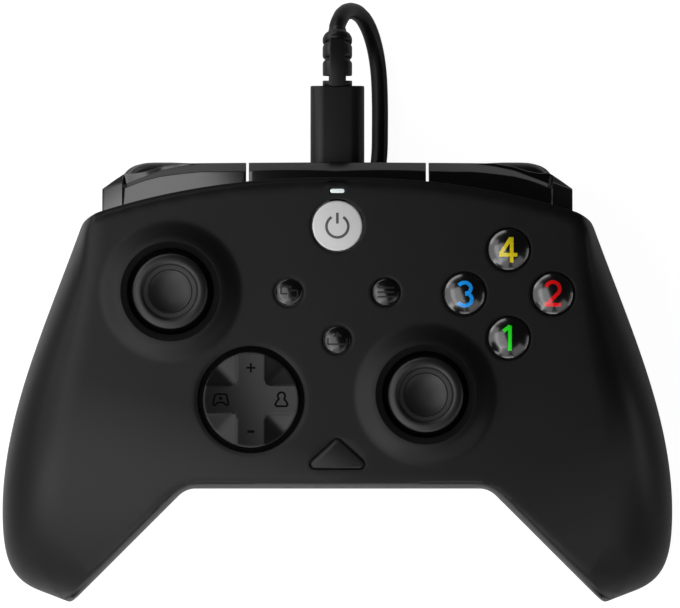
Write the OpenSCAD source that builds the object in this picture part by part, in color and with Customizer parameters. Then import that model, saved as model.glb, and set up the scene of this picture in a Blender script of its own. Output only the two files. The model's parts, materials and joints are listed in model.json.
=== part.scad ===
// Wired gamepad: two moulded shells, two sticks, direction pad, buttons, bumpers, triggers and a lead.
// Millimetres. X is the player's right, Y points away from the player, Z is up from the table.

/* [Housing] */
// Overall width over the grips
body_w = 154; // [152:0.5:156]
// Height of the flat control face above the table
face_z = 46; // [45.8:0.1:46.4]
// Height of the belly between the grips
belly_z = 18.8; // [18.7:0.1:19.2]
// Moulded wall thickness
wall = 2.2; // [2:0.1:2.4]
// Visible gap along the parting line
seam_gap = 0.3; // [0.2:0.05:0.4]

/* [Sticks] */
// Stick cap diameter
stick_cap_d = 17.2; // [16.4:0.1:17.4]
// Stick well diameter
stick_hole_d = 19.7; // [19.5:0.1:20.2]
// Height of the ring raised round each well
mound_h = 1.6; // [1.2:0.1:1.8]
// Stick shaft diameter
shaft_d = 2.4; // [2:0.1:2.6]

/* [Buttons] */
// Face button diameter
face_button_d = 9.4; // [8.8:0.1:9.8]
// Distance of each face button from the centre of the four
face_button_pitch = 10.1; // [9.8:0.1:10.6]
// Small button diameter
small_button_d = 6.1; // [5.6:0.1:6.4]
// Guide button diameter
guide_d = 11.45; // [11:0.05:12]
// Direction pad diameter
dpad_d = 21.9; // [21.4:0.1:22.2]
// Width of the direction pad's arms
dpad_arm_w = 6.5; // [6:0.1:7]
// Gap between a button and its hole, all round
button_gap = 0.35; // [0.3:0.05:0.45]
// Gap between a button's flange and the face above it
flange_gap = 0.3; // [0.2:0.05:0.35]

/* [Triggers] */
// Trigger width
trigger_w = 26; // [24:0.5:26]
// Trigger pin diameter
pin_d = 3; // [2.6:0.1:3.2]
// Running clearance round pins and spindles
run_gap = 0.05; // [0.03:0.01:0.1]

/* [Lead] */
// Cord diameter
cord_d = 3.8; // [3.6:0.1:3.8]
// Least gap between neighbouring turns of the coil
turn_gap = 0.45; // [0.42:0.01:0.46]
// Radius of the innermost turn
coil_in_r = 11; // [10.8:0.1:11.2]
// Turns in each of the four layers
layer_turns = 4.27; // [4.25:0.01:4.27]

/* [Hidden] */
$fn = 64;

black = [0.13, 0.13, 0.13];
gloss = [0.05, 0.05, 0.05];
dark = [0.09, 0.09, 0.09];
steel = [0.7, 0.7, 0.72];
green = [0.05, 0.3, 0.15];
grey = [0.45, 0.45, 0.45];

kx = body_w / 154;
seam_z = 27;
edge_y0 = 47.2;
edge_sag = 8;
half_w = 77.35;
end_x = 77;
wide_y = -30;
ceil_z = face_z - wall;

left_stick = [-38.2, 21];
right_stick = [20.2, -2.6];
dpad_at = [-19.8, -3.8];
face_at = [39.2, 20.4];
guide_at = [0, 36];
view_at = [-11.1, 20.8];
menu_at = [11.1, 20.8];
share_at = [0, 9.9];
lens_at = [0, 44];

board_top = 30;
board_t = 1.6;
board_low = board_top - board_t;
pivot_z = 36.5;
pocket_top = 43.2;
pocket_x = 55.2;
pin_y = 44;
pin_z = 27.5;
bay_y = 38.8;
bay_in = 24.7;
bay_out = 52.3;
port_z = board_low - 1.63;
jack_z = board_low - 2.6;
grip_screw = [kx * (half_w - 15.35), -37];
side_screw = [kx * (half_w - 20.85), 8];
mid_screw = [0, -5];
board_posts = [[20, 33], [47, -6]];
motor_x = kx * (half_w - 18.35);
motor_z = 17;
motor_r = 7;

function smooth(t) = let (u = min(1, max(0, t))) u * u * (3 - 2 * u);
function bez(a, b, c, d, t) =
    pow(1 - t, 3) * a + 3 * t * pow(1 - t, 2) * b + 3 * t * t * (1 - t) * c + t * t * t * d;
function edge_y(x) = edge_y0 - edge_sag * pow(abs(x) / 55, 2.2);

// Right half of the plan outline, from the centre line to the widest point
upper = concat(
    [for (i = [0:10]) [5.5 * i, edge_y(5.5 * i)]],
    [[57.1, 38], [58.3, 36.9]],
    [for (i = [0:14]) bez([58.9, 35.6], [67.1, 13], [half_w, -8], [half_w, wide_y], i / 14)]);
lower = concat(
    [[0, -24.3], [33.4, -24.3], [34.9, -24.8], [36, -25.5], [59.4, -48.9], [60.6, -50], [61.5, -50.6]],
    [for (i = [0:9]) bez([68.5, -47.9], [75, -45.4], [half_w, -41], [half_w, wide_y], i / 9)]);

// Width of the rounded band along the outline, by X, for the front and the rear shell
band_up_f = [[0, 1.6], [48, 1.6], [57, 3.5], [62, 8], [70, 10], [77, 11]];
band_lo_f = [[0, 1.3], [34, 1.3], [58, 1.6], [61.5, 2.2], [64, 4.5], [68, 7.5], [77, 11]];
band_up_r = [[0, 3], [48, 3], [57, 5], [62, 9], [70, 12], [77, 13]];
band_lo_r = [[0, 6], [34, 6], [42, 9], [58, 9], [61.5, 9], [68, 11], [77, 13]];

function inset(c, d, s) = [for (i = [0:len(c) - 1])
    i == 0 ? [0, c[0][1] - s * d]
    : i == len(c) - 1 ? [half_w - d, wide_y]
    : let (t = (c[i + 1] - c[i - 1]) / norm(c[i + 1] - c[i - 1])) c[i] + s * d * [t[1], -t[0]]];
upper_in = inset(upper, wall, 1);
lower_in = inset(lower, wall, -1);

function seg_d(p, a, b) =
    let (ab = b - a, t = min(1, max(0, ((p - a) * ab) / (ab * ab)))) norm(p - a - t * ab);
function widths(c, band, less) =
    [for (i = [0:len(c) - 2]) max(1, lookup((c[i][0] + c[i + 1][0]) / 2, band) - less)];
function near(p, c, w) = min([for (i = [0:len(w) - 1]) seg_d(p, c[i], c[i + 1]) / w[i]]);
function rise(r) = r >= 1 ? 1 : sqrt(max(0, 1 - (1 - r) * (1 - r)));

// Heights: the face droops along each grip, the underside sinks from the belly into the grips
function along(x, y) = max(0, 0.3 * (abs(x) - 40) - 0.95 * (y + 4));
function top_z(x, y) = face_z - 0.0112 * pow(along(x, y), 2);
function part_z(x, y) = seam_z - 0.0068 * pow(along(x, y), 2);
function grip_z(y) = y > -34 ? 11 * smooth((y + 34) / 74) : 0.009 * pow(y + 34, 2);
function low_z(x, y) = belly_z + (grip_z(y) - belly_z) * smooth((abs(x) - 35) / 17);
wr_up = widths(upper, band_up_r, 0);
wr_lo = widths(lower, band_lo_r, 0);
function rear_z(x, y) =
    let (u = abs(x) / kx, s = part_z(u, y),
        e = rise(min(near([u, y], upper, wr_up), near([u, y], lower, wr_lo))))
    s - (s - low_z(u, y)) * e;

// Stations across the width, dense where the outline turns
half_x = concat(
    [for (i = [0:9]) 3.36 * i], [33.6, 34.9], [for (i = [0:6]) 36 + 19 * i / 7], [55, 56.6, 58.3, 59.9],
    [for (i = [0:12]) 61.5 + (end_x - 61.5) * sin(90 * i / 12)]);
nh = len(half_x) - 1;
nx = 2 * nh;
ny = 20;
function st(i) = i < nh ? -half_x[nh - i] : half_x[i - nh];

// Rows from edge to edge; the first and the last lie no further in than e
function row(j, mm, e) = j == 1 ? min(e, even(1, mm)) : j == mm - 1 ? 1 - min(e, even(1, mm)) : even(j, mm);
function even(j, mm) = 0.35 * (1 - cos(180 * j / mm)) + 0.3 * j / mm;
function grid(n, mm, step, up, lo, wu, wl, k, front, less) =
    [for (i = [0:n], j = [0:mm])
        let (x = k * st(i * step), ax = abs(x), y0 = lookup(ax, lo), y1 = lookup(ax, up),
            y = y0 + (y1 - y0) * row(j, mm, less > 0 ? 1.3 / (y1 - y0) : 1),
            e = i == 0 || i == n || j == 0 || j == mm ? 0
                : rise(min(near([ax, y], up, wu), near([ax, y], lo, wl))),
            g = seam_gap / 2, s = part_z(x, y))
        [kx * x, y, front ? s + g + (top_z(x, y) - less - s - g) * e
            : s - g - (s - g - low_z(x, y) - less) * e]];
function sheet(n, mm, base, flip) = [for (i = [0:n - 1], j = [0:mm - 1], h = [0:1])
    let (a = base + i * (mm + 1) + j, b = a + 1, c = b + mm + 1, d = a + mm + 1,
        f = h == 0 ? [a, b, c] : [a, c, d]) flip ? [f[2], f[1], f[0]] : f];
function loop(n, mm, base) = concat(
    [for (i = [0:n - 1]) base + i * (mm + 1)], [for (j = [0:mm - 1]) base + n * (mm + 1) + j],
    [for (i = [n:-1:1]) base + i * (mm + 1) + mm], [for (j = [mm:-1:1]) base + j]);
function rim(o, q, flip) = let (no = len(o), nq = len(q)) [for (k = [0:nq - 1], h = [0:2])
    let (a = o[2 * k], b = o[2 * k + 1], c = o[(2 * k + 2) % no], d = q[k], e = q[(k + 1) % nq],
        f = h == 0 ? [a, b, d] : h == 1 ? [b, c, e] : [b, e, d]) flip ? [f[2], f[1], f[0]] : f];

module half(front) {
    bu = front ? band_up_f : band_up_r;
    bl = front ? band_lo_f : band_lo_r;
    outer = grid(nx, ny, 1, upper, lower, widths(upper, bu, 0), widths(lower, bl, 0), 1, front, 0);
    inner = grid(nh, ny / 2, 2, upper_in, lower_in, widths(upper_in, bu, wall), widths(lower_in, bl, wall),
        (half_w - wall) / half_w, front, wall);
    n0 = len(outer);
    polyhedron(concat(outer, inner), concat(
        rim(loop(nx, ny, 0), loop(nh, ny / 2, n0), !front),
        sheet(nh, ny / 2, n0, front), sheet(nx, ny, 0, !front)), convexity = 6);
}

module at(p, z = 0) translate([p[0], p[1], z]) children();
module both() for (s = [-1, 1]) scale([s, 1, 1]) children();
module sides(s) mirror([s < 0 ? 1 : 0, 0, 0]) children();
module along_x(x0, x1, r) translate([x0, 0, 0]) rotate([0, 90, 0]) cylinder(r = r, h = x1 - x0);
module along_y(y0, y1, r) translate([0, y0, 0]) rotate([-90, 0, 0]) cylinder(r = r, h = y1 - y0);
// A profile drawn in Y and Z, run along X
module yz(x0, x1) translate([x0, 0, 0]) rotate([90, 0, 90]) linear_extrude(x1 - x0) children();
// A profile drawn in X and Z, run along Y
module xz(y0, y1) translate([0, y1, 0]) rotate([90, 0, 0]) linear_extrude(y1 - y0) children();
module slot(w, h) {
    square([w - h, h], center = true);
    for (s = [-1, 1]) translate([s * (w - h) / 2, 0]) circle(d = h);
}

// Rounded triangle of the function button, grown by g
function tri(g) = let (r = 0.9 + g, c = [[5.4, -18.6], [0, -13.75], [-5.4, -18.6]], a = [-90, 42, 138], n = 5)
    [for (k = [0:2], i = [0:n]) let (t = a[k] + (k == 1 ? 96 : 132) * i / n) c[k] + r * [cos(t), sin(t)]];

// Cut under the lip of the face, where the bridge and the bumpers sit
module front_pocket() translate([0, 0, seam_z - 8]) linear_extrude(pocket_top - seam_z + 8) polygon(concat(
    [for (i = [-10:10]) let (x = pocket_x * i / 10) [x, edge_y(x) - 3.8]],
    [[pocket_x, 56], [-pocket_x, 56]]));
module port_cut() translate([0, 60, port_z]) rotate([90, 0, 0]) linear_extrude(22) slot(13.2, 7.2);
module jack_cut() translate([0, 0, jack_z]) along_y(-30, -18, 3);

module face_holes() {
    at(left_stick, 38) cylinder(d = stick_hole_d, h = 9);
    at(right_stick, 38) cylinder(d = stick_hole_d, h = 9);
    at(dpad_at, 38) cylinder(d = dpad_d + 2.2, h = 9);
    at(dpad_at, face_z - 0.6) cylinder(d1 = dpad_d + 2.2, d2 = dpad_d + 5.2, h = 0.9);
    for (a = [0:90:270]) at(face_at, 38) rotate(a) translate([face_button_pitch, 0, 0])
        cylinder(d = face_button_d + 2 * button_gap, h = 9);
    at(guide_at, 38) cylinder(d = guide_d + 2 * button_gap, h = 9);
    for (p = [view_at, menu_at, share_at]) at(p, 38) cylinder(d = small_button_d + 2 * button_gap, h = 9);
    at(lens_at, 40) linear_extrude(9) slot(3.7, 1.3);
    translate([0, 0, 38]) linear_extrude(9) polygon(tri(button_gap));
}
// Smooth ring raised round a stick well
module mound() difference() {
    rotate_extrude() polygon([[stick_hole_d / 2 - 0.6, face_z - 1.1], [stick_hole_d / 2 - 0.6, face_z + 1],
        [10.6, face_z + 0.9 * mound_h], [11.5, face_z + mound_h], [12.6, face_z + 0.93 * mound_h],
        [13.8, face_z + 0.7 * mound_h], [15, face_z + 0.38 * mound_h], [16.3, face_z - 0.1],
        [16.3, face_z - 1.1]]);
    translate([0, 0, face_z - 3]) cylinder(d = stick_hole_d + 0.02, h = 9);
}
module post(p, z0, z1, r, bore) at(p, z0) difference() {
    cylinder(r = r, h = z1 - z0);
    translate([0, 0, -1]) cylinder(r = bore, h = min(12, z1 - z0 - 2) + 1);
}

module front_shell() color(black) union() {
    difference() {
        half(true);
        face_holes();
        front_pocket();
        port_cut();
        jack_cut();
    }
    at(left_stick) mound();
    at(right_stick) mound();
    for (s = [-1, 1]) {
        post([s * grip_screw[0], grip_screw[1]], 15.2, 26.2, 3.2, 1.45);
        post([s * side_screw[0], side_screw[1]], 27.2, face_z - 1.1, 3.2, 1.45);
        for (p = board_posts) post([s * p[0], p[1]], board_top, face_z - 1.1, 2.6, 1.25);
    }
    post(mid_screw, 26.9, face_z - 1.1, 2.8, 1.45);
}

// Rear boss with a countersunk well for a screw
module well(p, z0, z1, zw) at(p, z0) difference() {
    cylinder(r = 4.2, h = z1 - z0);
    translate([0, 0, -1]) cylinder(r = 3.1, h = zw - z0 + 1);
    translate([0, 0, -1]) cylinder(r = 1.6, h = z1 - z0 + 2);
}
module wells_cut() {
    for (s = [-1, 1]) {
        at([s * grip_screw[0], grip_screw[1]], -2) cylinder(r = 3.4, h = 8);
        at([s * side_screw[0], side_screw[1]], 2) cylinder(r = 3.4, h = 10);
    }
    at(mid_screw, 15) cylinder(r = 3.4, h = 8);
}
module bay_wall() {
    xz(bay_y - 2.1, bay_y - 0.1) polygon(concat(
        [for (i = [0:12]) let (x = 22.6 + (bay_out - 20.6) * i / 12) [x, rear_z(x, bay_y - 1) + 1.1]],
        [[bay_out + 2, seam_z - 0.4], [22.6, seam_z - 0.4]]));
    yz(bay_in - 2.1, bay_in - 0.1) polygon(concat(
        [for (i = [0:4]) let (y = 37 + 1.6 * i) [y, rear_z(bay_in - 1, y) + 1.1]],
        [[45.2, 25.4]], [for (a = [-30:15:210]) [pin_y + 2.4 * cos(a), pin_z + 2.4 * sin(a)]],
        [[41.5, seam_z - 0.4], [37, seam_z - 0.4]]));
    yz(46.6, 48.6) polygon(concat([[bay_y - 1.6, 19], [bay_y + 0.2, 20]],
        [for (a = [-45:15:135]) [pin_y + 2.4 * cos(a), pin_z + 2.4 * sin(a)]],
        [[bay_y - 1.6, seam_z - 0.4]]));
}
module cradle(y) difference() {
    xz(y - 1, y + 1) polygon(concat([for (i = [0:5]) let (x = motor_x - 6.5 + 2.6 * i) [x, rear_z(x, y) + 1.2]],
        [[motor_x + 6.5, motor_z - 2], [motor_x - 6.5, motor_z - 2]]));
    translate([motor_x, 0, motor_z]) along_y(y - 2, y + 2, motor_r + 0.1);
}
module rear_shell() color(black) union() {
    difference() {
        half(false);
        for (s = [-1, 1]) translate([s * (bay_in + bay_out) / 2, bay_y + 10, 15])
            cube([bay_out - bay_in, 20, 34], center = true);
        port_cut();
        jack_cut();
        wells_cut();
        for (s = [-1, 1]) sides(s) translate([0, pin_y, pin_z]) along_x(bay_in - 2.4, 50, pin_d / 2 + 0.4);
    }
    for (s = [-1, 1]) sides(s) {
        difference() {
            bay_wall();
            translate([0, pin_y, pin_z]) along_x(20, 50, pin_d / 2 + run_gap);
        }
        cradle(-27);
        cradle(-15);
        well(grip_screw, rear_z(grip_screw[0], grip_screw[1]) + 0.9, 15, 9);
        well(side_screw, rear_z(side_screw[0], side_screw[1]) + 0.9, 27, 15);
    }
    well(mid_screw, belly_z + 0.9, 26.7, 22);
}

// Front edge of the bridge and bumpers in plan, and the fold between their two facets
function front_y(x) = lookup(abs(x), [[0, 50.6], [36, 50.5], [40, 49.9], [44, 48.7], [49, 46.6], [54, 44.4]]);
function fold(x) = lookup(abs(x), [[0, 1.35], [20.6, 2.25], [27, 2.8], [34, 3.7], [41, 4.6], [45, 5], [49, 4.9],
    [54, 4.3]]);
function band_pt(x, low, drop) =
    let (e = edge_y(x), f = fold(x), y = front_y(x), t = pocket_top - 0.3 - drop, z = t - 0.9 * (f + 0.9),
        w = 36.2 - 0.4 * drop) [
    [e - 1.4, t], [e - 0.9, t], [e + f, z], [y, w + 0.4], [y - 0.4, low], [y - 2.6, low], [y - 2.4, w],
    [e + f - 1.8, max(z - 1.6, w + 0.2)], [e - 1.4, t - 1.8]];
module band(xs, low) {
    n = len(xs);
    pts = [for (x = xs) each [for (p = band_pt(x, low, max(0, abs(x) - 49.3) * 0.5)) [x, p[0], p[1]]]];
    polyhedron(pts, concat(
        [[for (k = [8:-1:0]) k]], [[for (k = [0:8]) (n - 1) * 9 + k]],
        [for (i = [0:n - 2], k = [0:8], h = [0:1]) let (a = i * 9 + k, b = i * 9 + (k + 1) % 9)
            h == 0 ? [a, b, b + 9] : [a, b + 9, a + 9]]), convexity = 6);
}
hinge_at = [23.6, 43.3];
module bridge() color(gloss) union() {
    difference() {
        band([for (i = [-5:5]) 4.06 * i], 27.4);
        port_cut();
    }
    translate([-20, 41.4, 33.4]) cube([40, 5.4, 1.4]);
    translate([-20, 46, 33.4]) cube([40, 2.4, 3]);
    for (s = [-1, 1]) sides(s) {
        translate([19.5, 41.2, 33.4]) cube([hinge_at[0] - 19.5, 4.2, 1.4]);
        at(hinge_at, 33.4) cylinder(r = 2.1, h = 1.4);
        at(hinge_at, 34) cylinder(r = 1.2, h = 6.6);
    }
}
module bumper() color(gloss) difference() {
    union() {
        band([for (i = [0:12]) i < 11 ? 20.9 + 28.4 * i / 10 : 49.3 + 2.35 * (i - 10)], 33.4);
        at(hinge_at, 35.1) cylinder(r = 2.4, h = 4.4);
        translate([22.2, 44, 35.1]) cube([4, 4, 3.2]);
        translate([44, 39.4, 34.2]) cube([2.4, 6.2, 3]);
    }
    at(hinge_at, 34.5) cylinder(r = 1.2 + run_gap, h = 6);
}
module left_bumper() sides(-1) bumper();
module right_bumper() bumper();

trigger_x = 25.4;
module trigger() color(black) difference() {
    intersection() {
        yz(trigger_x, trigger_x + trigger_w) polygon(concat(
            [[46.4, 32.6], [49.4, 32.4], [50.4, 31.4], [50.7, 29], [50, 24], [49, 18.5], [48.5, 13.5], [48.5, 9],
            [49.2, 5], [50.3, 2.4], [50.6, 1.4], [50.2, 0.8], [49.2, 0.6], [47.8, 0.9], [46.4, 3], [45.5, 7],
            [45.2, 12], [45.2, 21.5]],
            [for (a = [300:-20:60]) [pin_y + 3.2 * cos(a), pin_z + 3.2 * sin(a)]]));
        translate([0, 0, -2]) linear_extrude(40) polygon([[trigger_x - 1, 36], [trigger_x + trigger_w, 36],
            [trigger_x + trigger_w, 45.4], [50.8, 46.9], [49.4, 48.5], [47.6, 49.7], [45.4, 50.5], [43, 50.8],
            [38, 50.8], [33, 50.5], [29.5, 49.8], [27, 48.6], [25.8, 47.2], [trigger_x - 1, 45.6]]);
    }
    translate([0, pin_y, pin_z]) along_x(20, 60, pin_d / 2 + run_gap);
    translate([33.4, 36, 22.4]) cube([8.2, 11.2, 12]);
    translate([46.2, 36, 22.4]) cube([10, 11.2, 12]);
}
module left_trigger() sides(-1) trigger();
module right_trigger() trigger();
module trigger_pin() color(steel) translate([0, pin_y, pin_z]) along_x(bay_in - 2, 48.5, pin_d / 2);
module left_trigger_pin() sides(-1) trigger_pin();
module right_trigger_pin() trigger_pin();

// A tube along a list of points, with n sides
function unit(v) = v / norm(v);
function dir(p, i) = unit(p[min(i + 1, len(p) - 1)] - p[max(i - 1, 0)]);
function ring(p, i, r, n, up) = let (t = dir(p, i), u = unit(cross(t, up)), w = cross(u, t))
    [for (k = [0:n - 1]) p[i] + r * (cos(360 * k / n) * u + sin(360 * k / n) * w)];
module tube(p, r, n, up) {
    c = len(p);
    polyhedron([for (i = [0:c - 1]) each ring(p, i, r, n, up)], concat(
        [[for (k = [n - 1:-1:0]) k]], [[for (k = [0:n - 1]) (c - 1) * n + k]],
        [for (i = [0:c - 2], k = [0:n - 1], h = [0:1]) let (a = i * n + k, b = i * n + (k + 1) % n)
            h == 0 ? [a, b, b + n] : [a, b + n, a + n]]), convexity = 8);
}
// Torsion spring round the trigger pin, with a leg on the bay wall and one behind the trigger
module trigger_spring() color(steel) translate([0, pin_y, pin_z]) tube(concat(
    [[34.2, -4.9, -5.6]], [for (i = [0:50]) let (a = 215 + 36 * i) [34.2 + 0.13 * i, 2.3 * cos(a), 2.3 * sin(a)]],
    [[40.8, 0.7, -4.4]]), 0.25, 6, [1, 0.02, 0.01]);
module left_trigger_spring() sides(-1) trigger_spring();
module right_trigger_spring() trigger_spring();

// Stick parts are drawn about the tilt centre
module stick(p) at(p, pivot_z) children();
module stick_housing() color(steel) union() {
    difference() {
        translate([-6.5, -6.5, board_top - pivot_z]) cube([13, 13, pivot_z - board_top + 4.6]);
        translate([-5.7, -5.7, board_top - pivot_z - 1]) cube([11.4, 11.4, pivot_z - board_top + 4.9]);
        cylinder(r = 5.3, h = 9);
        along_x(-9, 9, 1.4 + run_gap);
        along_y(-9, 9, 1.4 + run_gap);
    }
    translate([6.5, -5, board_top - pivot_z]) cube([2.8, 10, 7.2]);
    translate([-5, 6.5, board_top - pivot_z]) cube([10, 2.8, 7.2]);
}
module stick_lower_yoke() color(dark) difference() {
    union() {
        along_x(-6.4, 6.4, 1.4);
        translate([-3.9, -2.6, -1.5]) cube([7.8, 5.2, 3]);
    }
    translate([-3, -1.8, -3]) cube([6, 3.6, 6]);
    along_y(-4, 4, 0.8 + run_gap);
}
module stick_upper_yoke() color(dark) difference() {
    union() {
        intersection() {
            along_x(-2.2, 2.2, 5.2);
            translate([-5, -6, -1.4]) cube([10, 12, 9]);
        }
        along_y(-6.4, 6.4, 1.4);
    }
    along_x(-9, 9, 4);
    translate([-shaft_d / 2 - 0.12, -3.6, 0]) cube([shaft_d + 0.24, 7.2, 9]);
}
module stick_pivot() color(dark) difference() {
    union() {
        translate([-1.9, -1.7, -1.4]) cube([3.8, 3.4, 2.8]);
        along_y(-2.5, 2.5, 0.8);
    }
    translate([0, 0, -4]) cylinder(d = shaft_d + 2 * run_gap, h = 9);
}
module stick_shaft() color(steel) translate([0, 0, -4.2]) cylinder(d = shaft_d, h = 19.2);
module stick_cap() color(dark) difference() {
    r = stick_cap_d / 2;
    rotate_extrude() polygon(concat(
        [[0, 18.7], [2.4, 18.9], [4.9, 19.5], [4.9, 20], [6.2, 20.2], [6.2, 20.6], [r - 1.4, 20.9],
        [r - 0.5, 20.5], [r, 19.7], [r, 17.2], [r - 0.3, 16.6], [r - 0.9, 16.4], [4.4, 15.8], [3.6, 14.6]],
        [for (a = [17.9:5.263:60]) 11.7 * [sin(a), cos(a)]],
        [for (a = [60:-6:18]) 10.9 * [sin(a), cos(a)]],
        [[2.6, 10.2], [2.6, 6.4], [0, 6.4]]));
    translate([0, 0, 5]) cylinder(d = shaft_d + 0.04, h = 10.1);
}
module left_stick_housing() stick(left_stick) stick_housing();
module left_stick_lower_yoke() stick(left_stick) stick_lower_yoke();
module left_stick_upper_yoke() stick(left_stick) stick_upper_yoke();
module left_stick_pivot() stick(left_stick) stick_pivot();
module left_stick_shaft() stick(left_stick) stick_shaft();
module left_stick_cap() stick(left_stick) stick_cap();
module right_stick_housing() stick(right_stick) stick_housing();
module right_stick_lower_yoke() stick(right_stick) stick_lower_yoke();
module right_stick_upper_yoke() stick(right_stick) stick_upper_yoke();
module right_stick_pivot() stick(right_stick) stick_pivot();
module right_stick_shaft() stick(right_stick) stick_shaft();
module right_stick_cap() stick(right_stick) stick_cap();

rock_z = 38;
module dpad() color(dark) at(dpad_at) difference() {
    union() {
        intersection() {
            union() {
                difference() {
                    translate([0, 0, 40.6]) cylinder(d = dpad_d, h = face_z + 1.4 - 40.6);
                    translate([0, 0, face_z + 22.2]) sphere(r = 22.2);
                }
                for (a = [0, 90]) rotate(a) translate([-dpad_d / 2 - 1, -dpad_arm_w / 2, 40.6])
                    cube([dpad_d + 2, dpad_arm_w, face_z + 2.2 - 40.6]);
            }
            rotate_extrude() polygon([[0, 40.6], [dpad_d / 2, 40.6], [dpad_d / 2, face_z + 0.9],
                [dpad_d / 2 - 0.3, face_z + 1.5], [dpad_d / 2 - 1.2, face_z + 2], [6, face_z + 2], [0, face_z + 1.6]]);
        }
        translate([0, 0, 40.6]) cylinder(d = dpad_d + 3.6, h = 1.5);
        translate([0, 0, rock_z + 0.2]) cylinder(r = 3.6, h = 3);
        for (a = [0:90:270]) rotate(a) translate([7, 0, 39.2]) cylinder(r = 1.9, h = 2);
    }
    translate([0, 0, rock_z]) sphere(r = 2.1);
}
module dpad_ball() color(steel) at(dpad_at, rock_z) sphere(r = 1.8);
module dpad_base() color(black) at(dpad_at) difference() {
    union() {
        translate([0, 0, board_top]) cylinder(r = 11, h = 1);
        translate([0, 0, board_top]) cylinder(r = 2.6, h = rock_z - 0.8 - board_top);
    }
    translate([0, 0, rock_z]) sphere(r = 2.1);
}
module dpad_membrane() color(grey) at(dpad_at, board_top + 1) difference() {
    union() {
        cylinder(r = 10.8, h = 0.8);
        for (a = [0:90:270]) rotate(a) translate([7, 0, 0]) cylinder(r1 = 2.9, r2 = 2.1, h = 7);
    }
    translate([0, 0, -1]) cylinder(r = 2.9, h = 4);
}

module round_button(d, z0, crown, flange, stem_r) {
    r = d / 2;
    translate([0, 0, z0]) cylinder(r = stem_r, h = ceil_z - flange_gap - 1.2 - z0);
    rotate_extrude() polygon([[0, ceil_z - flange_gap - 1.5], [flange, ceil_z - flange_gap - 1.5],
        [flange, ceil_z - flange_gap], [r, ceil_z - flange_gap], [r, face_z + 0.4 * crown],
        [r - 0.15, face_z + 0.55 * crown], [r - 0.5, face_z + 0.68 * crown], [0.72 * r, face_z + 0.82 * crown],
        [0.5 * r, face_z + 0.92 * crown], [0.25 * r, face_z + 0.98 * crown], [0, face_z + crown]]);
}
module face_button(a) color(gloss) at(face_at) rotate(a) translate([face_button_pitch, 0, 0])
    round_button(face_button_d, 34.3, 2.8, 5.8, 3);
module face_button_1() face_button(270);
module face_button_2() face_button(0);
module face_button_3() face_button(180);
module face_button_4() face_button(90);
module face_membrane() color(grey) at(face_at, board_top) {
    cylinder(r = face_button_pitch + 2.8, h = 0.8);
    for (a = [0:90:270]) rotate(a) translate([face_button_pitch, 0, 0]) cylinder(r1 = 4.2, r2 = 3, h = 2.5);
}
module guide_button() color([0.76, 0.76, 0.76]) at(guide_at) round_button(guide_d, 33.2, 0.8, 7, 1.5);
module view_button() color(gloss) at(view_at) round_button(small_button_d, 33.2, 0.9, 4.1, 1.2);
module menu_button() color(gloss) at(menu_at) round_button(small_button_d, 33.2, 0.9, 4.1, 1.2);
module share_button() color(gloss) at(share_at) round_button(small_button_d, 33.2, 0.9, 4.1, 1.2);
module function_button() color(dark) union() {
    translate([0, 0, ceil_z - flange_gap - 0.5]) linear_extrude(face_z + 0.7 - ceil_z + flange_gap + 0.5)
        polygon(tri(0));
    translate([0, 0, ceil_z - flange_gap - 1.5]) linear_extrude(1.1) polygon(tri(0.9));
    at([0, -17], 33.2) cylinder(r = 1.4, h = ceil_z - flange_gap - 1 - 33.2);
}
module status_lens() color([0.95, 0.95, 0.95]) at(lens_at, ceil_z - 0.8)
    linear_extrude(face_z + 0.05 - ceil_z + 0.8) slot(3.5, 1.1);

module main_board() color(green) difference() {
    translate([0, 0, board_low]) linear_extrude(board_t) polygon([[-50, -19], [50, -19], [50, 36], [22, 36],
        [19, 41.5], [-19, 41.5], [-22, 36], [-50, 36]]);
    at(mid_screw, 20) cylinder(r = 4.6, h = 20);
    for (s = [-1, 1], p = board_posts) at([s * p[0], p[1]], 20) cylinder(r = 1.3, h = 20);
}
module tact() {
    translate([-2.3, -2.3, 0]) cube([4.6, 4.6, 1.7]);
    cylinder(r = 1.1, h = 2.7);
}
module tact_switches() color(grey) {
    for (p = [guide_at, view_at, menu_at, share_at, [0, -17]]) at(p, board_top) tact();
    for (s = [-1, 1]) translate([s * 45.2 - 2.5, 33.6, board_top]) {
        cube([5, 2.6, 6.8]);
        translate([2.5, 0, 5.6]) along_y(2, 4.4, 0.9);
    }
}

module motor() color(steel) translate([motor_x, 0, motor_z]) difference() {
    union() {
        along_y(-31, -11, motor_r);
        along_y(-11.5, -10.4, 2.2);
    }
    along_y(-16, -9, 1 + run_gap);
}
module weight(t) color([0.55, 0.53, 0.5]) translate([motor_x, 0, motor_z]) {
    along_y(-15.5, -9.5 + t, 1);
    difference() {
        along_y(-9.5, -9.5 + t, 8);
        translate([-10, -20, 2.2]) cube([20, 40, 10]);
    }
}
module left_motor() sides(-1) motor();
module right_motor() motor();
module left_weight() sides(-1) weight(6);
module right_weight() weight(4);

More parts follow.
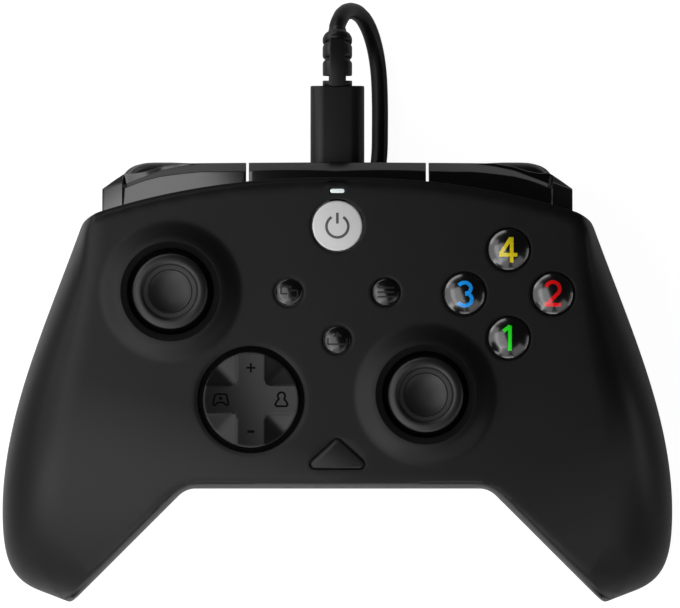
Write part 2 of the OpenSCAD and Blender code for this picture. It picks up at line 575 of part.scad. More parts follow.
module cable_port() color(steel) difference() {
    translate([0, 36.5, port_z]) rotate([-90, 0, 0]) linear_extrude(7.4) slot(8.94, 3.26);
    translate([0, 37.1, port_z]) rotate([-90, 0, 0]) linear_extrude(9) slot(8.36, 2.56);
}
jack_r = 1.8;
module headset_jack() color(dark) translate([0, 0, jack_z]) difference() {
    union() {
        translate([-3.2, -20.5, -2.6]) cube([6.4, 10.5, 5.2]);
        along_y(-24.2, -20, 2.7);
    }
    along_y(-25, -11, jack_r);
}
module screw(p, zh, zt, rh, rs) at(p, zh) difference() {
    union() {
        cylinder(r = rh, h = 2);
        cylinder(r = rs, h = zt - zh);
    }
    translate([0, 0, -1]) cylinder(r = 1, h = 2, $fn = 6);
}
module shell_screws() color(steel) {
    for (s = [-1, 1]) {
        screw([s * grip_screw[0], grip_screw[1]], 7, 23, 2.7, 1.4);
        screw([s * side_screw[0], side_screw[1]], 13, 36, 2.7, 1.4);
    }
    screw(mid_screw, 20, 36, 2.7, 1.4);
}
module board_screws() color(steel) for (s = [-1, 1], p = board_posts)
    screw([s * p[0], p[1]], board_low - 2, 38, 2.2, 1.2);

// Lead: plug in the port, ribbed boot bending down, run along the table, coil under the belly, far plug
cord_r = cord_d / 2;
boot_r = 3.35;
bend_y = 70.4;
bend_r = 18;
module lead_plug() color(dark) {
    translate([0, 45, port_z]) rotate([-90, 0, 0]) linear_extrude(22.2) slot(12.4, 6.4);
    translate([0, 67.2, port_z]) rotate([-90, 0, 0]) linear_extrude(0.6) slot(11.8, 5.8);
    translate([0, 67.8, port_z]) rotate([-90, 0, 0]) linear_extrude(0.4) slot(10.8, 4.8);
    translate([0, 37.6, port_z]) rotate([-90, 0, 0]) linear_extrude(7.5) slot(8.25, 2.4);
}
// A length of boot round the bend, from angle a to angle b
module boot_part(a, b, r) translate([0, bend_y, port_z - bend_r]) rotate([0, -90, 0]) rotate([0, 0, a])
    rotate_extrude(angle = b - a) translate([bend_r, 0]) circle(r = r);
module lead_boot() color(dark) union() {
    translate([0, 0, port_z]) along_y(68.2, 69.4, boot_r);
    translate([0, 0, port_z]) along_y(69, bend_y, 2.3);
    boot_part(0, 36, 2.5);
    boot_part(0.4, 11, boot_r);
    boot_part(12.2, 23, boot_r);
    boot_part(24.2, 35.4, boot_r);
}
boot_end = [0, bend_y + bend_r * sin(36), port_z - bend_r + bend_r * cos(36)];
boot_dir = [0, cos(36), -sin(36)];

pitch = cord_d + turn_gap;
coil_at = [3, 10.5];
coil_z = 0.7 + cord_r;
coil_start = 100;
sweep = 360 * layer_turns;
coil_out_r = coil_in_r + pitch * layer_turns;
// Angle a runs from 0 through the four layers; the spiral runs in, out, in, out
function coil_r(a) = let (k = floor(min(a, 4 * sweep - 0.001) / sweep), u = (a - k * sweep) / 360)
    k % 2 == 0 ? coil_out_r - pitch * u : coil_in_r + pitch * u;
function coil_h(a) = coil_z + pitch * (min(1, max(0, (a - sweep) / 180 + 0.5))
    + min(1, max(0, (a - 2 * sweep) / 180 + 0.5)) + min(1, max(0, (a - 3 * sweep) / 180 + 0.5)));
function coil_pt(a) = [coil_at[0] + coil_r(a) * cos(coil_start + a), coil_at[1] + coil_r(a) * sin(coil_start + a),
    coil_h(a)];
turn_steps = 24;
coil_n = round(4 * sweep / 360 * turn_steps);
coil_path = [for (i = [0:coil_n]) coil_pt(4 * sweep * i / coil_n)];
coil_in_dir = (coil_path[1] - coil_path[0]) / norm(coil_path[1] - coil_path[0]);
coil_out_dir = (coil_path[coil_n] - coil_path[coil_n - 1]) / norm(coil_path[coil_n] - coil_path[coil_n - 1]);
// Least gap from the coil to itself, between points half a turn or more apart
coil_gap = min([for (i = [0:2:coil_n], j = [i + 12:1:min(i + 240, coil_n)])
    norm(coil_path[i] - coil_path[j])]) - cord_d;
run_path = [boot_end + 0.05 * boot_dir, boot_end + 1.2 * boot_dir, [0.4, 83.1, 21.4], [1.3, 84.7, 18.6],
    [2.6, 85.5, 15.2], [4.2, 85.3, 11.8], [5.8, 84, 8.6], [7.2, 81.6, 5.8], [8.3, 78.4, 3.6],
    [9.1, 74.6, 2.3], [9.6, 70, 1.95], [9.8, 64, 1.9], [9.8, 58, 1.9],
    [9.7, 53, 1.9], [9.2, 49, 2], [7.8, 45.2, 2.1], [5.4, 42, 2.3], [2.2, 40.1, 2.5],
    coil_path[0] - 1.2 * coil_in_dir, coil_path[0] - 0.05 * coil_in_dir];
tail_path = [coil_path[coil_n] + 0.05 * coil_out_dir, coil_path[coil_n] + 1.2 * coil_out_dir,
    [-18.8, 30.1, 15.4], [-22, 27.3, 15.2], [-24.9, 24.9, 14], [-27.2, 23, 11.6],
    [-29.4, 21.4, 8.6], [-31.2, 20.1, 5.8], [-33.2, 19, 4.1], [-35.2, 18.3, 3.5], [-36.3, 18.2, 3.4]];
module lead_run() color(dark) tube(run_path, cord_r, 8, [1, 0.1, 0.2]);
module lead_coil() color(dark) {
    echo(coil_gap = coil_gap);
    tube(coil_path, cord_r, 6, [0, 0, 1]);
}
module lead_tail() color(dark) tube(tail_path, cord_r, 8, [0.3, -0.8, 0.4]);
module lead_tie() color(dark) {
    x0 = coil_at[0] + coil_in_r - cord_r - 1.2;
    x1 = coil_at[0] + coil_out_r + cord_r + 0.4;
    z1 = coil_h(4 * sweep) + cord_r + 0.2;
    xz(coil_at[1] - 4, coil_at[1] + 4) difference() {
        translate([x0 - 0.6, 0]) square([x1 - x0 + 1.2, z1 + 0.6]);
        translate([x0, 0.5]) square([x1 - x0, z1 - 0.5]);
    }
}
module far_plug() color(dark) translate([-36.6, 18.2, 3.4]) union() {
    translate([-14.5, -7.4, -3.3]) cube([12.5, 14.8, 6.6]);
    translate([-2.2, -4, -3]) cube([2.2, 8, 6]);
    difference() {
        translate([-26.3, -6, -2.25]) cube([12.3, 12, 4.5]);
        translate([-27, -5.7, -0.2]) cube([9, 11.4, 2.1]);
    }
}

front_shell();
rear_shell();
bridge();
left_bumper();
right_bumper();
left_trigger();
right_trigger();
left_trigger_pin();
right_trigger_pin();
left_trigger_spring();
right_trigger_spring();
left_stick_housing();
left_stick_lower_yoke();
left_stick_upper_yoke();
left_stick_pivot();
left_stick_shaft();
left_stick_cap();
right_stick_housing();
right_stick_lower_yoke();
right_stick_upper_yoke();
right_stick_pivot();
right_stick_shaft();
right_stick_cap();
dpad();
dpad_ball();
dpad_base();
dpad_membrane();
face_button_1();
face_button_2();
face_button_3();
face_button_4();
face_membrane();
guide_button();
view_button();
menu_button();
share_button();
function_button();
status_lens();
main_board();
tact_switches();
left_motor();
right_motor();
left_weight();
right_weight();
cable_port();
headset_jack();
shell_screws();
board_screws();
lead_plug();
lead_boot();
lead_run();
lead_coil();
lead_tie();
lead_tail();
far_plug();
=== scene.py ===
"""Looks of the wired gamepad: skins, finishes, lead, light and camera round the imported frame.

Lengths in the code are millimetres in the part's frame; MM turns them into metres.
"""

import json
import math

import bpy
import numpy as np
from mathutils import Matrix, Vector
from mathutils.geometry import delaunay_2d_cdt


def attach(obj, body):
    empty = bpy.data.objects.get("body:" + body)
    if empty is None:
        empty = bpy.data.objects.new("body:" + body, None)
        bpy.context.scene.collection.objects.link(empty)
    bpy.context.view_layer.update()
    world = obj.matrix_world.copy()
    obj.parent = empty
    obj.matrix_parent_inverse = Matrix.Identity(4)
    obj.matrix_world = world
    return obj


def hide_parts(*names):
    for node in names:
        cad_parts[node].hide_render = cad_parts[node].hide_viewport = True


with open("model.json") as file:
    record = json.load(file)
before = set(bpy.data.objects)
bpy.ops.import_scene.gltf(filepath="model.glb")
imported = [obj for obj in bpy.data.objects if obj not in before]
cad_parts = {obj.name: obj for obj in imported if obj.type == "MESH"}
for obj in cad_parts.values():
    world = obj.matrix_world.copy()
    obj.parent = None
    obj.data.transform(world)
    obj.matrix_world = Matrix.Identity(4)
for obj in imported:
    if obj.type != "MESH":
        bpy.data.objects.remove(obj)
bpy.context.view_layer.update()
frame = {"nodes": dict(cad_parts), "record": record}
nodes = frame["nodes"]
scene = bpy.context.scene
MM = 0.001

# Places and sizes, as in the part's source
FACE_Z, SEAM_Z, BELLY_Z, SEAM_GAP = 46.0, 27.0, 18.8, 0.3
LEFT_STICK, RIGHT_STICK = (-38.2, 21.0), (20.2, -2.6)
DPAD, FACE_AT, FACE_PITCH = (-19.8, -3.8), (39.2, 20.4), 10.1
FACE_R, SMALL_R, GUIDE_R, HOLE_GAP, PAD_HOLE = 4.7, 3.05, 5.725, 0.35, 12.05
GUIDE, VIEW, MENU, SHARE, LENS = (0, 36), (-11.1, 20.8), (11.1, 20.8), (0, 9.9), (0, 44)
PIVOT_Z, POCKET_TOP, PORT_Z, JACK_Z = 36.5, 43.2, 26.77, 25.8
GRIP_SCREW, SIDE_SCREW, MID_SCREW = (62, -37), (56.5, 8), (0, -5)
PIN_Y, PIN_Z, BAY_Y, BAY_IN, BAY_OUT = 44.0, 27.5, 38.8, 24.7, 52.3


# Materials

GLOSS_SPREAD = 0.06


def put(node, name, value):
    node.inputs[name].default_value = value


def material(name, base, rough, grain=0.0, depth=0.0, mottle=0.0, spec=0.5, metal=0.0, emit=None):
    """A moulded finish: fine grain as bump, and slow patches of tone and gloss. One number is a grey."""
    base = base if isinstance(base, tuple) else (base, base, base)
    m = bpy.data.materials.new(name)
    m.use_nodes = True
    t = m.node_tree
    s = t.nodes["Principled BSDF"]
    put(s, "Metallic", metal)
    put(s, "Specular IOR Level", spec)
    if emit:
        put(s, "Emission Color", (*base, 1))
        put(s, "Emission Strength", emit)
    where = t.nodes.new("ShaderNodeTexCoord").outputs["Object"]

    def noise(scale, detail):
        n = t.nodes.new("ShaderNodeTexNoise")
        put(n, "Scale", scale)
        put(n, "Detail", detail)
        t.links.new(where, n.inputs["Vector"])
        return n.outputs["Fac"]

    patches = noise(90, 3)
    ramp = t.nodes.new("ShaderNodeValToRGB")
    for e, at, k in zip(ramp.color_ramp.elements, (0.3, 0.7), (1 - mottle, 1 + mottle)):
        e.position = at
        e.color = (*[c * k for c in base], 1)
    t.links.new(patches, ramp.inputs["Fac"])
    t.links.new(ramp.outputs["Color"], s.inputs["Base Color"])
    gloss = t.nodes.new("ShaderNodeMapRange")
    put(gloss, "To Min", rough * (1 - GLOSS_SPREAD))
    put(gloss, "To Max", min(1, rough * (1 + GLOSS_SPREAD)))
    t.links.new(noise(420, 4), gloss.inputs["Value"])
    t.links.new(gloss.outputs["Result"], s.inputs["Roughness"])
    if grain:
        bump = t.nodes.new("ShaderNodeBump")
        put(bump, "Strength", 1.0)
        put(bump, "Distance", depth)
        t.links.new(noise(grain, 2), bump.inputs["Height"])
        t.links.new(bump.outputs["Normal"], s.inputs["Normal"])
    return m


SHELL = material("shell_fine_texture", (0.0036, 0.0036, 0.0037), 0.42, 3200, 0.000009, 0.05, spec=0.2)
GLOSS = material("gloss_black", 0.001, 0.14, mottle=0.1, spec=0.6)
DOME = material("button_dome", 0.001, 0.2, mottle=0.1, spec=1.0)
SMALL_DOME = material("small_button_dome", 0.001, 0.22, mottle=0.1, spec=0.65)
SATIN = material("satin_black", (0.005, 0.005, 0.0051), 0.36, 2600, 0.000004, 0.06, spec=0.28)
RUBBER = material("stick_rubber", (0.006, 0.006, 0.0061), 0.42, 3000, 0.000006, 0.06, spec=0.34)
CORD = material("cord_jacket", (0.004, 0.004, 0.0041), 0.38, 1500, 0.000005, 0.08, spec=0.17)
# Stick skirts and the pad's flange, down in the wells: a darker, duller copy of the black plastic, as painted
# shade for the recess.
PAINTED_WELL_SHADE = material("painted_well_shade", 0.003, 0.7, mottle=0.1, spec=0.15)
SILVER = material("guide_silver", 0.51, 0.5, 2600, 0.000003, 0.02)
WHITE = material("lens_white", (0.7, 0.78, 0.78), 0.4, mottle=0.02, emit=0.08)
STEEL = material("steel", (0.5, 0.5, 0.52), 0.32, 900, 0.000006, 0.08, metal=1.0)
BOARD = material("board_green", (0.004, 0.024, 0.011), 0.4, 700, 0.000006, 0.15)
SILICONE = material("silicone", (0.28, 0.28, 0.29), 0.6, 900, 0.00001, 0.05)
WEIGHT = material("sintered_metal", (0.35, 0.33, 0.3), 0.5, 1200, 0.00001, 0.1, metal=1.0)
INK = material("engraved_ink", 0.001, 0.8, mottle=0.1, spec=0.04)
ICON = material("raised_icon", 0.01, 0.6, mottle=0.1, spec=0.25)
MARKS = {
    "green": material("mark_green", (0.02, 0.7, 0.02), 0.12, mottle=0.04),
    "red": material("mark_red", (0.64, 0.006, 0.008), 0.12, mottle=0.04),
    "blue": material("mark_blue", (0.01, 0.29, 0.82), 0.12, mottle=0.04),
    "yellow": material("mark_yellow", (0.6, 0.48, 0.01), 0.12, mottle=0.04),
    "grey": material("mark_grey", (0.055, 0.055, 0.056), 0.45, mottle=0.04),
}
CAD_FINISH = {
    "shell_black": SHELL, "gloss_black": GLOSS, "steel": STEEL, "stick_rubber": RUBBER, "dark_plastic": SATIN,
    "silicone": SILICONE, "silver": SILVER, "lens_white": WHITE, "board_green": BOARD, "weight_metal": WEIGHT,
    "lead_black": CORD}
slot_of = {s["node"]: s["material_slot"] for s in frame["record"]["subparts"]}
for n, o in nodes.items():
    o.data.materials.clear()
    o.data.materials.append(CAD_FINISH[slot_of[n]])


# Mesh helpers

def lengths(v):
    return np.linalg.norm(v, axis=1)


def mesh_object(name, verts, faces, mat, sharp=35):
    me = bpy.data.meshes.new(name)
    me.from_pydata([Vector(v) * MM for v in np.asarray(verts, float)], [], [list(map(int, f)) for f in faces])
    me.validate()
    me.materials.append(mat)
    me.shade_smooth()
    me.set_sharp_from_angle(angle=math.radians(sharp))
    o = bpy.data.objects.new(name, me)
    scene.collection.objects.link(o)
    return o


def piece(o, body, slot, *replaced):
    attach(o, body)
    if replaced:
        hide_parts(*replaced)
    return o


def add(name, part, mat, body, slot, *replaced, sharp=35):
    """A piece from (verts, faces)."""
    return piece(mesh_object(name, *part, mat, sharp), body, slot, *replaced)


def join(*parts):
    """Several (verts, faces) as one."""
    verts, faces, base = [], [], 0
    for v, f in parts:
        verts.append(np.asarray(v, float))
        faces += [[i + base for i in q] for q in f]
        base += len(v)
    return np.vstack(verts), faces


def lathe(profile, at=(0, 0, 0), n=96, rib=None):
    """Turns (radius, z) points round Z. Closed where the profile starts and ends on the axis."""
    a = np.arange(n) * 2 * math.pi / n
    rows, verts = [], []
    for k, (r, z) in enumerate(profile):
        if r < 1e-6:
            rows.append([len(verts)] * n)
            verts.append((0, 0, z))
            continue
        rr = r + (rib(k, a) if rib else 0 * a)
        rows.append(list(range(len(verts), len(verts) + n)))
        verts += list(zip(rr * np.cos(a), rr * np.sin(a), np.full(n, z)))
    faces = []
    for p, q in zip(rows, rows[1:]):
        for i in range(n):
            f = [p[i], p[(i + 1) % n], q[(i + 1) % n], q[i]]
            f = [x for j, x in enumerate(f) if x != f[j - 1]]
            if len(f) > 2:
                faces.append(f[::-1])
    return np.array(verts) + np.array(at), faces


def loft(sections, caps=True):
    """Closed sections of equal count, skinned in order."""
    k = len(sections[0])
    verts = np.vstack(sections)
    faces = []
    for i in range(len(sections) - 1):
        for j in range(k):
            a, b = i * k + j, i * k + (j + 1) % k
            faces.append([a, b, b + k, a + k])
    if caps:
        faces.append(list(range(k))[::-1])
        faces.append([(len(sections) - 1) * k + j for j in range(k)])
    return verts, faces


def across_x(q, x):
    """Points (y, z) as a section at x."""
    return np.column_stack([np.full(len(q), x), q])


def across_y(q, y):
    """Points (x, z) as a section at y."""
    return np.column_stack([q[:, 0], np.full(len(q), y), q[:, 1]])


def across_z(q, z):
    """Points (x, y) as a section at z."""
    return np.column_stack([q, np.full(len(q), z)])


def rounded(points, radii, n=4):
    """A closed 2D polygon with each corner rounded."""
    p = np.asarray(points, float)
    out = []
    for i in range(len(p)):
        a, b = p[i - 1] - p[i], p[(i + 1) % len(p)] - p[i]
        la, lb = np.linalg.norm(a), np.linalg.norm(b)
        r = radii[i] if hasattr(radii, "__len__") else radii
        t = min(r, 0.45 * la, 0.45 * lb)
        s, e = p[i] + a / la * t, p[i] + b / lb * t
        for u in np.linspace(0, 1, n + 1):
            out.append((1 - u) ** 2 * s + 2 * u * (1 - u) * p[i] + u * u * e)
    return np.array(out)


def prism(poly, z0, z1, bevel=0.0, steps=3):
    """A flat-topped solid over a closed 2D polygon, its top edge rounded."""
    poly = np.asarray(poly, float)
    c = poly.mean(0)
    t = np.roll(poly, -1, 0) - np.roll(poly, 1, 0)
    n = np.stack([t[:, 1], -t[:, 0]], 1) / lengths(t)[:, None]
    if np.sum(n * (poly - c)) < 0:
        n = -n
    rings = [(0, z0), (0, z1 - bevel)]
    if bevel:
        for a in np.linspace(0, math.pi / 2, steps + 1)[1:]:
            rings.append((bevel * (1 - math.cos(a)), z1 - bevel * (1 - math.sin(a))))
    sections = [across_z(poly - n * d, z) for d, z in rings]
    area = np.sum(poly[:, 0] * np.roll(poly[:, 1], -1) - poly[:, 1] * np.roll(poly[:, 0], -1))
    if area < 0:
        sections = [s[::-1] for s in sections]
    return loft(sections)


def box(lo, hi):
    lo, hi = np.array(lo, float), np.array(hi, float)
    sq = np.array([[lo[0], lo[1]], [hi[0], lo[1]], [hi[0], hi[1]], [lo[0], hi[1]]])
    return loft([across_z(sq, z) for z in (lo[2], hi[2])])


def stadium(w, h, n=24):
    r = h / 2
    a = np.linspace(-math.pi / 2, math.pi / 2, n)
    right = np.column_stack([(w - h) / 2 + r * np.cos(a), r * np.sin(a)])
    return np.vstack([right, -right])


def turned(part, m):
    """(verts, faces) with every vertex through the 3x3 matrix m."""
    v, f = part
    m = np.array(m, float)
    v = np.asarray(v) @ m.T
    return v, ([q[::-1] for q in f] if np.linalg.det(m) < 0 else f)


def mirrored(part):
    return turned(part, np.diag([-1, 1, 1]))


def moved(part, d):
    return np.asarray(part[0]) + np.array(d, float), part[1]


def cut(o, *solids):
    """Takes closed (verts, faces) solids out of an object."""
    cutter = mesh_object("cutter", *join(*solids), INK)
    b = o.modifiers.new("cut", "BOOLEAN")
    b.operation, b.solver, b.object = "DIFFERENCE", "MANIFOLD", cutter
    done = bpy.data.meshes.new_from_object(o.evaluated_get(bpy.context.evaluated_depsgraph_get()))
    o.modifiers.remove(b)
    o.data = done
    bpy.data.objects.remove(cutter)
    return o


# Housing outline and heights, as in the part's source

def smooth(t):
    t = np.clip(t, 0, 1)
    return t * t * (3 - 2 * t)


def edge_y(x):
    return 47.2 - 8 * (np.abs(x) / 55) ** 2.2


def bezier(a, b, c, d, n):
    t = np.linspace(0, 1, n)[:, None]
    a, b, c, d = map(np.array, (a, b, c, d))
    return (1 - t) ** 3 * a + 3 * t * (1 - t) ** 2 * b + 3 * t * t * (1 - t) * c + t ** 3 * d


def relaxed(p, times):
    """Values round a closed loop, each eased towards its neighbours."""
    for _ in range(times):
        p = 0.25 * np.roll(p, 1, 0) + 0.5 * p + 0.25 * np.roll(p, -1, 0)
    return p


def reached(path):
    """Distance along a path, at each of its points."""
    return np.concatenate([[0], np.cumsum(lengths(np.diff(path, axis=0)))])


def sampled(u, s, path):
    """Points at the distances u on a plan path whose own points lie at s."""
    return np.column_stack([np.interp(u, s, path[:, k]) for k in (0, 1)])


HALF_W, WIDE_Y, STEP = 77.0, -30.0, 0.45


def outline_loop():
    """The whole plan outline, clockwise from the middle of the top edge, evenly spaced and slightly eased."""
    x = np.linspace(0, 55, 90)
    top = np.column_stack([x, edge_y(x)])
    side = bezier((58.9, 35.6), (67.1, 13), (HALF_W, -8), (HALF_W, WIDE_Y), 140)
    low = bezier((68.5, -47.9), (75, -45.4), (HALF_W, -41), (HALF_W, WIDE_Y), 70)[::-1]
    rest = np.array([
        (61.5, -50.6), (60.6, -50), (59.4, -48.9), (36, -25.5), (34.9, -24.8), (33.4, -24.3), (0, -24.3)])
    right = np.vstack([top, [(57.1, 38), (58.3, 36.9)], side, low[1:], rest])
    loop = np.vstack([right, (right * [-1, 1])[-2:0:-1]])
    closed = np.vstack([loop, loop[:1]])
    s = reached(closed)
    count = 2 * round(s[-1] / STEP / 2)
    u = np.arange(count) * s[-1] / count
    return relaxed(sampled(u, s, closed), 2)


LOOP = outline_loop()
tangent = np.roll(LOOP, -1, 0) - np.roll(LOOP, 1, 0)
INWARD = np.column_stack([tangent[:, 1], -tangent[:, 0]]) / lengths(tangent)[:, None]
UPPER = LOOP[:, 1] > np.where(np.abs(LOOP[:, 0]) > 60, WIDE_Y, 0)
# Band width by distance from the middle, along the upper and the lower outline: front shell, rear shell
BANDS = {
    True: (([0, 55, 58, 62, 70, 77], [1.2, 1.2, 2.0, 7, 12, 13.5]),
           ([0, 34, 58, 61.5, 64, 68, 77], [1.3, 1.3, 1.6, 2.2, 5, 9, 13.5])),
    False: (([0, 48, 57, 62, 70, 77], [3, 3, 5, 9, 12, 13]),
            ([0, 34, 42, 58, 61.5, 68, 77], [6, 6, 9, 9, 9, 11, 13])),
}


def widths(front):
    up, lo = BANDS[front]
    ax = np.abs(LOOP[:, 0])
    return relaxed(np.where(UPPER, np.interp(ax, *up), np.interp(ax, *lo)), 12)


def ratio(p, w):
    """Distance from the outline over the width of its rounded band, least over the outline."""
    p = np.column_stack([np.abs(p[:, 0]), p[:, 1]])
    keep = LOOP[:, 0] > -1.5
    a = LOOP[keep]
    b = np.roll(LOOP, -1, 0)[keep]
    ww = w[keep]
    ab = b - a
    l2 = np.sum(ab * ab, 1)
    out = np.empty(len(p))
    for i in range(0, len(p), 3000):
        q = p[i:i + 3000, None, :] - a[None]
        t = np.clip(np.sum(q * ab, 2) / l2, 0, 1)
        out[i:i + 3000] = np.min(np.linalg.norm(q - t[..., None] * ab, axis=2) / ww, axis=1)
    return out


def inside(p, poly):
    a, b = poly, np.roll(poly, -1, 0)
    out = np.zeros(len(p), bool)
    for i in range(0, len(p), 4000):
        q = p[i:i + 4000, None]
        hit = (a[:, 1] > q[..., 1]) != (b[:, 1] > q[..., 1])
        dy = np.where(b[:, 1] == a[:, 1], 1e-9, b[:, 1] - a[:, 1])
        x = a[:, 0] + (q[..., 1] - a[:, 1]) * (b[:, 0] - a[:, 0]) / dy
        out[i:i + 4000] = np.sum(hit & (q[..., 0] < x), 1) % 2 == 1
    return out


# The chamfer along the top edge: its share of the band, and of the rise at its end
CHAMFER, CHAMFER_FOOT = 0.06, 1 - 1.1 / 19


class Field:
    """The band ratio, eased where bands from two sides meet."""

    def __init__(self, front):
        self.w = widths(front)
        self.power = 2.3 if front else 2
        self.step = 0.5
        self.x = np.arange(-8, 82, self.step)
        self.y = np.arange(-58, 56, self.step)
        g = np.stack(np.meshgrid(self.x, self.y, indexing="ij"), -1).reshape(-1, 2)
        r = ratio(g, self.w)
        r[~inside(g, LOOP)] *= -1
        r = np.minimum(r, 1.6).reshape(len(self.x), len(self.y))
        k = np.exp(-0.5 * (np.arange(-9, 10) * self.step / 1.7) ** 2)
        k /= k.sum()
        for axis in (0, 1):
            r = np.apply_along_axis(lambda c: np.convolve(np.pad(c, 9, mode="edge"), k, "valid"), axis, r)
        self.r = r

    def eased(self, p):
        fx = np.clip((np.abs(p[:, 0]) - self.x[0]) / self.step, 0, len(self.x) - 1.001)
        fy = np.clip((p[:, 1] - self.y[0]) / self.step, 0, len(self.y) - 1.001)
        i, j = fx.astype(int), fy.astype(int)
        u, v = fx - i, fy - j
        r = self.r
        low = (1 - u) * r[i, j] + u * r[i + 1, j]
        high = (1 - u) * r[i, j + 1] + u * r[i + 1, j + 1]
        return (1 - v) * low + v * high

    def rise(self, p):
        exact = ratio(p, self.w)
        wide = smooth((self.w.max() - 2) / 4)
        e = smooth((exact - 0.08) / 0.5) * wide
        r = np.clip(exact * (1 - e) + np.maximum(self.eased(p), 0) * e, 0, 1)
        round_edge = np.sqrt(1 - (1 - r) ** self.power)
        if self.power == 2:
            return round_edge
        slope = CHAMFER_FOOT + (1 - CHAMFER_FOOT) * (r - CHAMFER) / (1 - CHAMFER)
        flat_edge = np.where(r < CHAMFER, r / CHAMFER * CHAMFER_FOOT, slope)
        top = (p[:, 1] > 20) * (1 - smooth((np.abs(p[:, 0]) - 55.5) / 4))
        return round_edge * (1 - top) + flat_edge * top


def along(x, y):
    return np.maximum(0, 0.3 * (np.abs(x) - 40) - 0.95 * (y + 4))


def top_z(x, y):
    return FACE_Z - 0.0112 * along(x, y) ** 2


def part_z(x, y):
    return SEAM_Z - 0.0068 * along(x, y) ** 2


def low_z(x, y):
    grip = np.where(y > -34, 11 * smooth((y + 34) / 74), 0.009 * (y + 34) ** 2)
    return BELLY_Z + (grip - BELLY_Z) * smooth((np.abs(x) - 35) / 17)


def arc(c, r, a):
    """Points on a circle at the angles a."""
    return np.column_stack([c[0] + r * np.cos(a), c[1] + r * np.sin(a)])


def ring(c, r, n):
    return arc(c, r, np.arange(n) * 2 * math.pi / n)


def triangle(g):
    """Outline of the function button, g outside it."""
    r = 0.9 + g
    out = []
    for c, a, sweep in (((5.1, -18.5), -90, 132), ((0, -13.9), 42, 96), ((-5.1, -18.5), 138, 132)):
        out.append(arc(c, r, np.radians(a + np.linspace(0, sweep, 10))))
    return np.vstack(out)


# Hole edges: the radius of their rounding, and the lens hole's size
LIP, WELL_LIP, PAD_LIP, LENS_LIP, SCREW_LIP = 0.22, 0.3, 0.35, 0.18, 0.5
LENS_W, LENS_H = 3.45, 1.1
# The ring raised round a stick: height, crest, foot, well, slope into the well, and the bead on the crest
MOUND_H, RIM_R, FOOT_R, WELL_R, WELL_SLOPE = 1.6, 11.5, 16.6, 9.85, 0.36
BEAD_R, BEAD_W, BEAD_H = 11.42, 0.24, 0.05
# The dish round the direction pad
DISH_R, DISH_W, DISH_H = 13.3, 1.1, 0.16
WELL_RINGS = (WELL_R, 10.0, 10.3, 10.75, 11.2, 11.38, 11.5, 11.62, 11.8, 12.2, 12.7, 13.3, 13.9, 14.5, 15.1,
              15.7, 16.2, 16.6, 17.3)
PAD_RINGS = (PAD_HOLE, 12.09, 12.18, 12.3, 12.4, 12.7, 13.0, DISH_R, 14.2)
EDGE_RINGS = (0, 0.03, 0.1, LIP, 0.8)
LENS_RINGS = (0, 0.03, 0.1, LENS_LIP, 0.5, 0.9)


def lip_drop(t, r=LIP):
    """How far a rounded hole edge lies below the face, t outside the hole."""
    t = np.clip(t, 0, r)
    return r - np.sqrt(np.maximum(0, r * r - (r - t) ** 2))


def face_centre(degrees):
    a = math.radians(degrees)
    return FACE_AT[0] + FACE_PITCH * math.cos(a), FACE_AT[1] + FACE_PITCH * math.sin(a)


def holes_front():
    """Closed loops of the face's holes, each with rings that shape its edge, and its round holes again."""
    rings = [[ring(c, r, 120) for r in WELL_RINGS] for c in (LEFT_STICK, RIGHT_STICK)]
    rings.append([ring(DPAD, r, 132) for r in PAD_RINGS])
    small = [(GUIDE, GUIDE_R + HOLE_GAP, 88)]
    small += [(c, SMALL_R + HOLE_GAP, 64) for c in (VIEW, MENU, SHARE)]
    small += [(face_centre(a), FACE_R + HOLE_GAP, 80) for a in (0, 90, 180, 270)]
    for c, r, n in small:
        rings.append([ring(c, r + d, n) for d in EDGE_RINGS])
    rings.append([triangle(HOLE_GAP + d) for d in EDGE_RINGS])
    rings.append([stadium(LENS_W + 2 * d, LENS_H + 2 * d, 14) + np.array(LENS) for d in LENS_RINGS])
    return rings, small


def ring_edges(base, n):
    """Edges of a closed ring of n points, the first at index base."""
    return [(base + i, base + (i + 1) % n) for i in range(n)]


def staggered(x0, x1, y0, y1, s):
    """Points of a triangular grid of spacing s."""
    gx, gy = np.meshgrid(np.arange(x0, x1, s), np.arange(y0, y1, s * 0.866), indexing="ij")
    gx = gx + 0.5 * s * (np.arange(gx.shape[1]) % 2)
    return np.column_stack([gx.ravel(), gy.ravel()])


def triangulate(pts, edges):
    """Triangles in the plan that keep the given edges."""
    res = delaunay_2d_cdt([Vector(q) for q in np.vstack(pts)], edges, [], 0, 1e-5)
    return np.array([tuple(q) for q in res[0]]), np.array([f for f in res[2] if len(f) == 3])


def crosses(v, tri):
    return np.cross(v[tri[:, 1]] - v[tri[:, 0]], v[tri[:, 2]] - v[tri[:, 0]])


def face_up(v, tri):
    """Triangles in the plan, each turned anticlockwise."""
    return np.where((crosses(v, tri) > 0)[:, None], tri, tri[:, ::-1])


